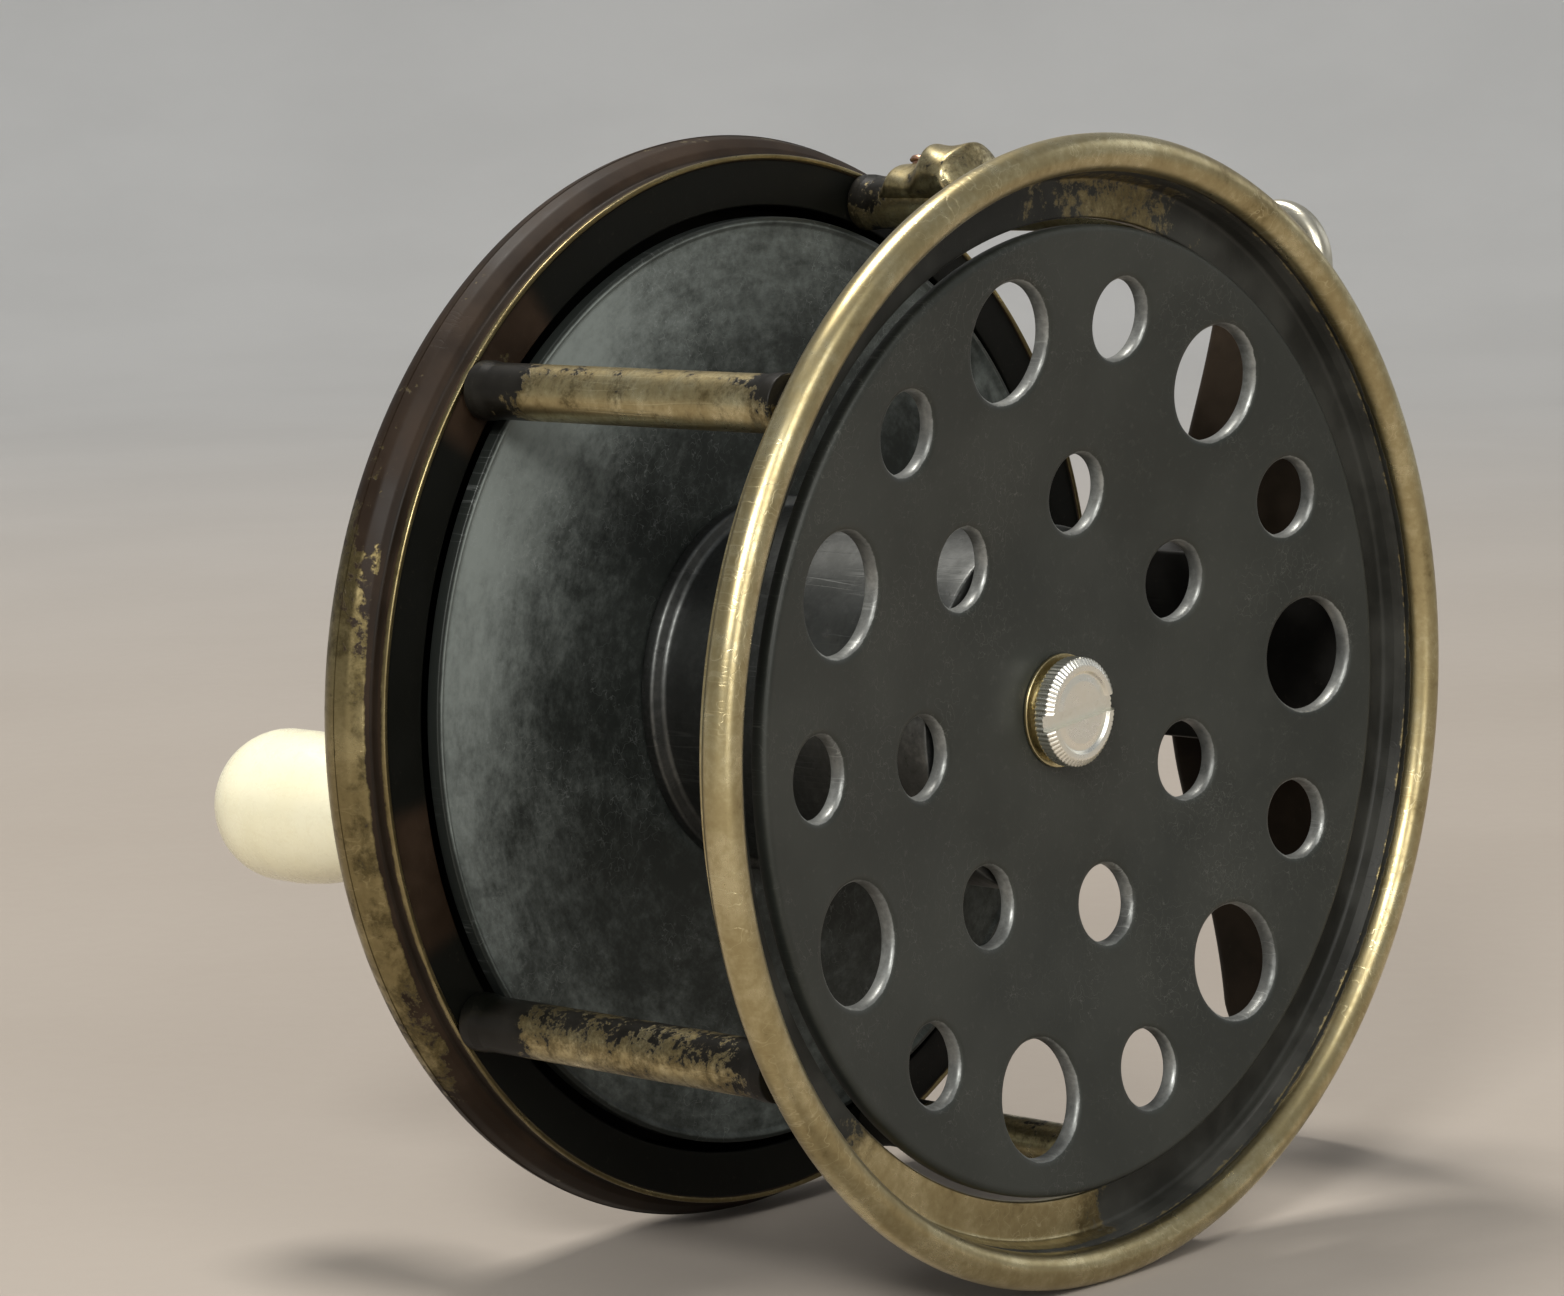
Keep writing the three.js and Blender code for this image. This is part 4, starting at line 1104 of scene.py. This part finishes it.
def spindle_nut():
    """A knurled nut with a dished face and a wide slot."""
    rim = 4.24
    flutes = 64
    low, high = faces_y("spindle_nut")
    head_back = high - 0.45
    profile = divided(rounded([
        (0, low + 0.22),
        (2.4, low + 0.16, 0.4),
        (3.0, low + 0.26, 0.15),
        (3.2, low + 0.02, 0.12),
        (rim - 0.55, low, 0.2),
        (rim, low + 0.42, 0.2),
        (rim, head_back, 0.25),
        (3.4, head_back + 0.1, 0.1),
        (3.4, high, 0.1),
        (BORE, high, 0.05),
        (BORE, low + 1.0),
        (0, low + 1.0),
    ], 5), 0.22)

    def knurl(radius, y, angle):
        share = smooth(3.3, 3.75, radius)
        return radius - 0.09 * share * (0.5 + 0.5 * math.cos(flutes * angle)) ** 2, y

    mesh = turned_mesh(profile, flutes * 8, SPINDLE, knurl)
    slot = block_mesh((-6, 6), (low - 1, low + 0.72), (-0.62, 0.62), SPINDLE, 7)
    mesh = cut(mesh, [slot])
    piece = finish_mesh("spindle_nut", mesh, "spool", "nickel", NUT_FINISH, 28)
    # painted shade: the floor of the nut's slot is painted dark
    coat(piece, lambda radius, y, angle: 0.62 if radius < 4.1 and low + 0.5 < y < low + 0.9 else 0.05)


def winding_plate():
    low, high = faces_y("winding_plate")
    back = high - 0.3
    rim = radius_of("winding_plate")
    profile = rounded([
        (BORE, low, 0.1), (rim - 0.9, low, 0.3), (rim, low + 0.6, 0.4), (rim - 0.7, back, 0.4),
        (rim - 2.1, back, 0.25), (rim - 2.7, back - 0.3, 0.25), (10, back - 0.3, 0.3), (9.2, high, 0.3),
        (6.2, high, 0.2), (BORE, high, 0.1),
    ])
    mesh = turned_mesh(divided(profile, 1.0), SIDES)
    mesh = cut(mesh, [rod_mesh(1.7, (low - 1, high + 1), middle("handle_pin"))])
    piece = finish_mesh("winding_plate", mesh, "spool", "black_paint", BLACK_FINISH)

    def rule(radius, y, angle):
        edge = smooth(rim - 1.0, rim - 0.3, radius) * 0.55
        boss = smooth(9.6, 9.1, radius) * smooth(5.5, 6.5, radius) * smooth(back - 0.3, high, y) * 0.45
        thumb = near(angle, 195, 30) * smooth(20, 30, radius) * 0.22
        return 0.90 - edge - boss - thumb

    coat(piece, rule)
    seat = high + 0.1
    profile = rounded([
        (0, high - 5.3), (1.1, high - 5.3, 0.2), (1.1, seat), (5, seat, 0.1), (5, seat + 0.9, 0.25),
        (4, seat + 1.5, 0.5), (0, seat + 1.8),
    ], 6)
    mesh = turned_mesh(divided(profile, 0.5), 96)
    mesh = cut(mesh, [block_mesh((-6, 6), (seat + 0.9, seat + 3), (-0.45, 0.45), SPINDLE, 33)])
    finish_mesh("winding_plate_screw", mesh, "spool", "nickel", NICKEL_FINISH)


# ---------------------------------------------------------------- handle


def handle_parts():
    centre = middle("handle_pin")
    low, high = faces_y("handle_pin")
    collar = WINDING_Y + 1.3
    profile = rounded([
        (0, low), (1.5, low, 0.1), (1.5, collar), (3, collar, 0.1),
        (3, collar + 0.9, 0.2), (1.5, collar + 0.9, 0.1), (1.5, high, 0.1),
        (0.85, high), (0.85, high - 5), (0, high - 5),
    ])
    turned_piece("handle_pin", profile, "spool", "steel", STEEL_FINISH, SMALL_SIDES, centre)
    washer("handle_washer", 1.6, 3.6, centre, "handle", "nickel", NICKEL_FINISH)

    base, end = faces_y("handle_knob")
    wide = radius_of("handle_knob")
    ball = end - wide * math.sin(math.radians(65))
    tip = arc((0, ball), wide, 4, 65, 18)
    profile = rounded([
        (1.6, base, 0.1), (3.7, base, 0.2), (4.3, base + 0.5, 0.5), (4.5, base + 1.3, 1.0),
        (4.7, base + 3, 4.0), (5.3, base + 5.8, 10.0), (5.85, base + 8.6, 8.0), (wide, ball - 2.5, 6.0), *tip,
        (2.5, tip[-1][1] - 0.1, 0.15), (2.5, high, 0.1), (1.6, high),
    ], 6)
    turned_piece("handle_knob", divided(profile, 0.5), "handle", "ivory", IVORY_FINISH, 128, centre)

    seat = high + 0.1
    profile = rounded([
        (0, high - 4), (0.7, high - 4, 0.1), (0.7, seat), (2.3, seat, 0.1), (2.3, seat + 0.7, 0.15),
        (1.6, seat + 1.2, 0.4), (0, seat + 1.4),
    ])
    mesh = turned_mesh(divided(profile, 0.4), SMALL_SIDES, centre)
    mesh = cut(mesh, [block_mesh((-3, 3), (seat + 0.75, seat + 3), (-0.25, 0.25), centre, 58)])
    finish_mesh("handle_screw", mesh, "handle", "nickel", NICKEL_FINISH)


# ---------------------------------------------------------------- click check, inside the back plate


def click_parts():
    low, high = faces_y("bearing_bush")
    profile = rounded([
        (2.6, low, 0.15), (6, low, 0.2), (6, low + 1.3, 0.1), (4, low + 1.3), (4, high, 0.15),
        (2.6, high, 0.15),
    ])
    turned_piece("bearing_bush", profile, "frame", "bronze", BRONZE_FINISH, 96)
    for node in STUDS:
        low, high = faces_y(node)
        profile = rounded([
            (0, low), (1.7, low, 0.2), (2, low + 0.25, 0.2), (2, low + 0.55, 0.1), (1.2, low + 0.55),
            (1.2, low + 2.15), (2.2, low + 2.15, 0.1), (2.2, WEB_INNER_Y - 0.1, 0.1), (1, WEB_INNER_Y - 0.1),
            (1, high, 0.15), (0, high),
        ])
        turned_piece(node, profile, "frame", "steel", STEEL_FINISH, SMALL_SIDES, middle(node))
    for node in ("click_ratchet", "click_pawl", "click_spring"):
        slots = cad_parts[node].data.materials
        slots.clear()
        slots.append(STEEL_FINISH)


front_ring()
back_plate()
pillars()
back_screws()
line_guide()
foot()
foot_screws()
foot_bridge()
spool_front_plate()
spool_back_plate()
spool_core()
spindle_parts()
spindle_nut()
winding_plate()
handle_parts()
click_parts()

# ---------------------------------------------------------------- stage, light and camera

FLOOR_Z = SPINDLE[1] - RIM * MM
FLOOR_FLAT = 0.95
FLOOR_CURVE = 0.8


def studio_floor():
    """A floor that curves up all round into its backdrop, painted darker near the reel and paler far off."""
    profile = [(0.0, 0.0), (0.3, 0.0), (0.6, 0.0), (FLOOR_FLAT, 0.0)]
    for step in range(1, 17):
        angle = math.pi / 2 * step / 16
        profile.append((FLOOR_FLAT + FLOOR_CURVE * math.sin(angle), FLOOR_CURVE * (1 - math.cos(angle))))
    profile.append((FLOOR_FLAT + FLOOR_CURVE, 1.5))
    sides = 96
    points, faces = [], []
    for side in range(sides):
        angle = 2 * math.pi * side / sides
        points += [(SPINDLE[0] + r * math.cos(angle), r * math.sin(angle), FLOOR_Z + z) for r, z in profile]
    count = len(profile)
    for side in range(sides):
        here, there = side * count, (side + 1) % sides * count
        faces += [(here + i, there + i, there + i + 1, here + i + 1) for i in range(count - 1)]
    mesh = mesh_from(points, faces)
    mesh.shade_smooth()
    mesh.flip_normals()
    floor = bpy.data.objects.new("studio_floor", mesh)
    bpy.context.scene.collection.objects.link(floor)
    finish = Finish("floor_with_painted_light")
    cloud = finish.noise(90, 4, 0.5)
    weave = finish.noise(2.5, 3, 0.6)
    parts = finish.tree.nodes.new("ShaderNodeVectorMath")
    parts.operation = "LENGTH"
    finish.put(parts.inputs[0], finish.place)
    # painted light and shade: darker near the reel and paler far off, to even out the lamps; the warm floor
    # and grey backdrop are the cloths' own colours
    painted_light_by_distance = finish.step(parts.outputs["Value"], 0.15, 1.3)
    warm_floor_with_painted_shade = finish.blend(finish.step(cloud, 0.3, 0.7), (0.355, 0.315, 0.275), (0.37, 0.33, 0.29))
    away = finish.blend(finish.step(cloud, 0.3, 0.7), (0.73, 0.73, 0.72), (0.77, 0.77, 0.76))
    finish.set(
        Base_Color=finish.blend(painted_light_by_distance, warm_floor_with_painted_shade, away),
        Roughness=finish.step(weave, 0.3, 0.7, 0.85, 0.95),
        Specular_IOR_Level=0.15,
        Normal=finish.bump(weave, 0.03),
    )
    mesh.materials.append(finish.material)


def softbox(name, azimuth, elevation, distance, size, power, colour):
    """An area light that looks at the reel. Azimuth 0 is on the perforated side, and 90 on the +X side."""
    data = bpy.data.lights.new(name, "AREA")
    data.shape = "RECTANGLE"
    data.size, data.size_y = size
    data.energy = power
    data.color = colour
    light = bpy.data.objects.new(name, data)
    bpy.context.scene.collection.objects.link(light)
    a, e = math.radians(azimuth), math.radians(elevation)
    way = Vector((math.sin(a) * math.cos(e), -math.cos(a) * math.cos(e), math.sin(e)))
    light.location = Vector((SPINDLE[0], 0, SPINDLE[1])) + way * distance
    light.rotation_mode = "QUATERNION"
    light.rotation_quaternion = (-way).to_track_quat("-Z", "Y")


def camera():
    """The reel seen from its open left side, from a little above."""
    azimuth, elevation, roll = math.radians(-47.93), math.radians(6.876), math.radians(-0.846)
    distance = 0.3685
    aim = Vector((SPINDLE[0] - 0.0147, -0.0003, 0.0052))
    back = Vector((
        math.sin(azimuth) * math.cos(elevation),
        -math.cos(azimuth) * math.cos(elevation),
        math.sin(elevation),
    ))
    data = bpy.data.cameras.new("camera")
    data.sensor_width = 36
    data.lens = 110.75
    data.clip_start = 0.01
    data.clip_end = 20
    view = bpy.data.objects.new("camera", data)
    bpy.context.scene.collection.objects.link(view)
    view.location = aim + back * distance
    view.rotation_mode = "QUATERNION"
    upright = (-back).to_track_quat("-Z", "Y").to_matrix()
    view.rotation_quaternion = (upright @ Matrix.Rotation(roll, 3, "Z")).to_quaternion()
    bpy.context.scene.camera = view


studio_floor()
softbox("overhead_key", 170, 74, 0.9, (0.25, 0.25), 7.0, (1.0, 0.96, 0.90))
softbox("left_window", -60, 30, 0.85, (0.17, 0.22), 4.6, (1.0, 0.985, 0.95))
softbox("front_window", -18, 24, 0.9, (0.3, 0.75), 2.9, (1.0, 0.985, 0.95))
softbox("right_fill", 70, 25, 1.0, (0.4, 0.5), 0.45, (0.95, 0.97, 1.0))
camera()

world = bpy.data.worlds.new("studio")
world.use_nodes = True
world.node_tree.nodes["Background"].inputs["Color"].default_value = (0.75, 0.77, 0.8, 1)
world.node_tree.nodes["Background"].inputs["Strength"].default_value = 0.40
bpy.context.scene.world = world
bpy.context.scene.view_settings.view_transform = "Standard"
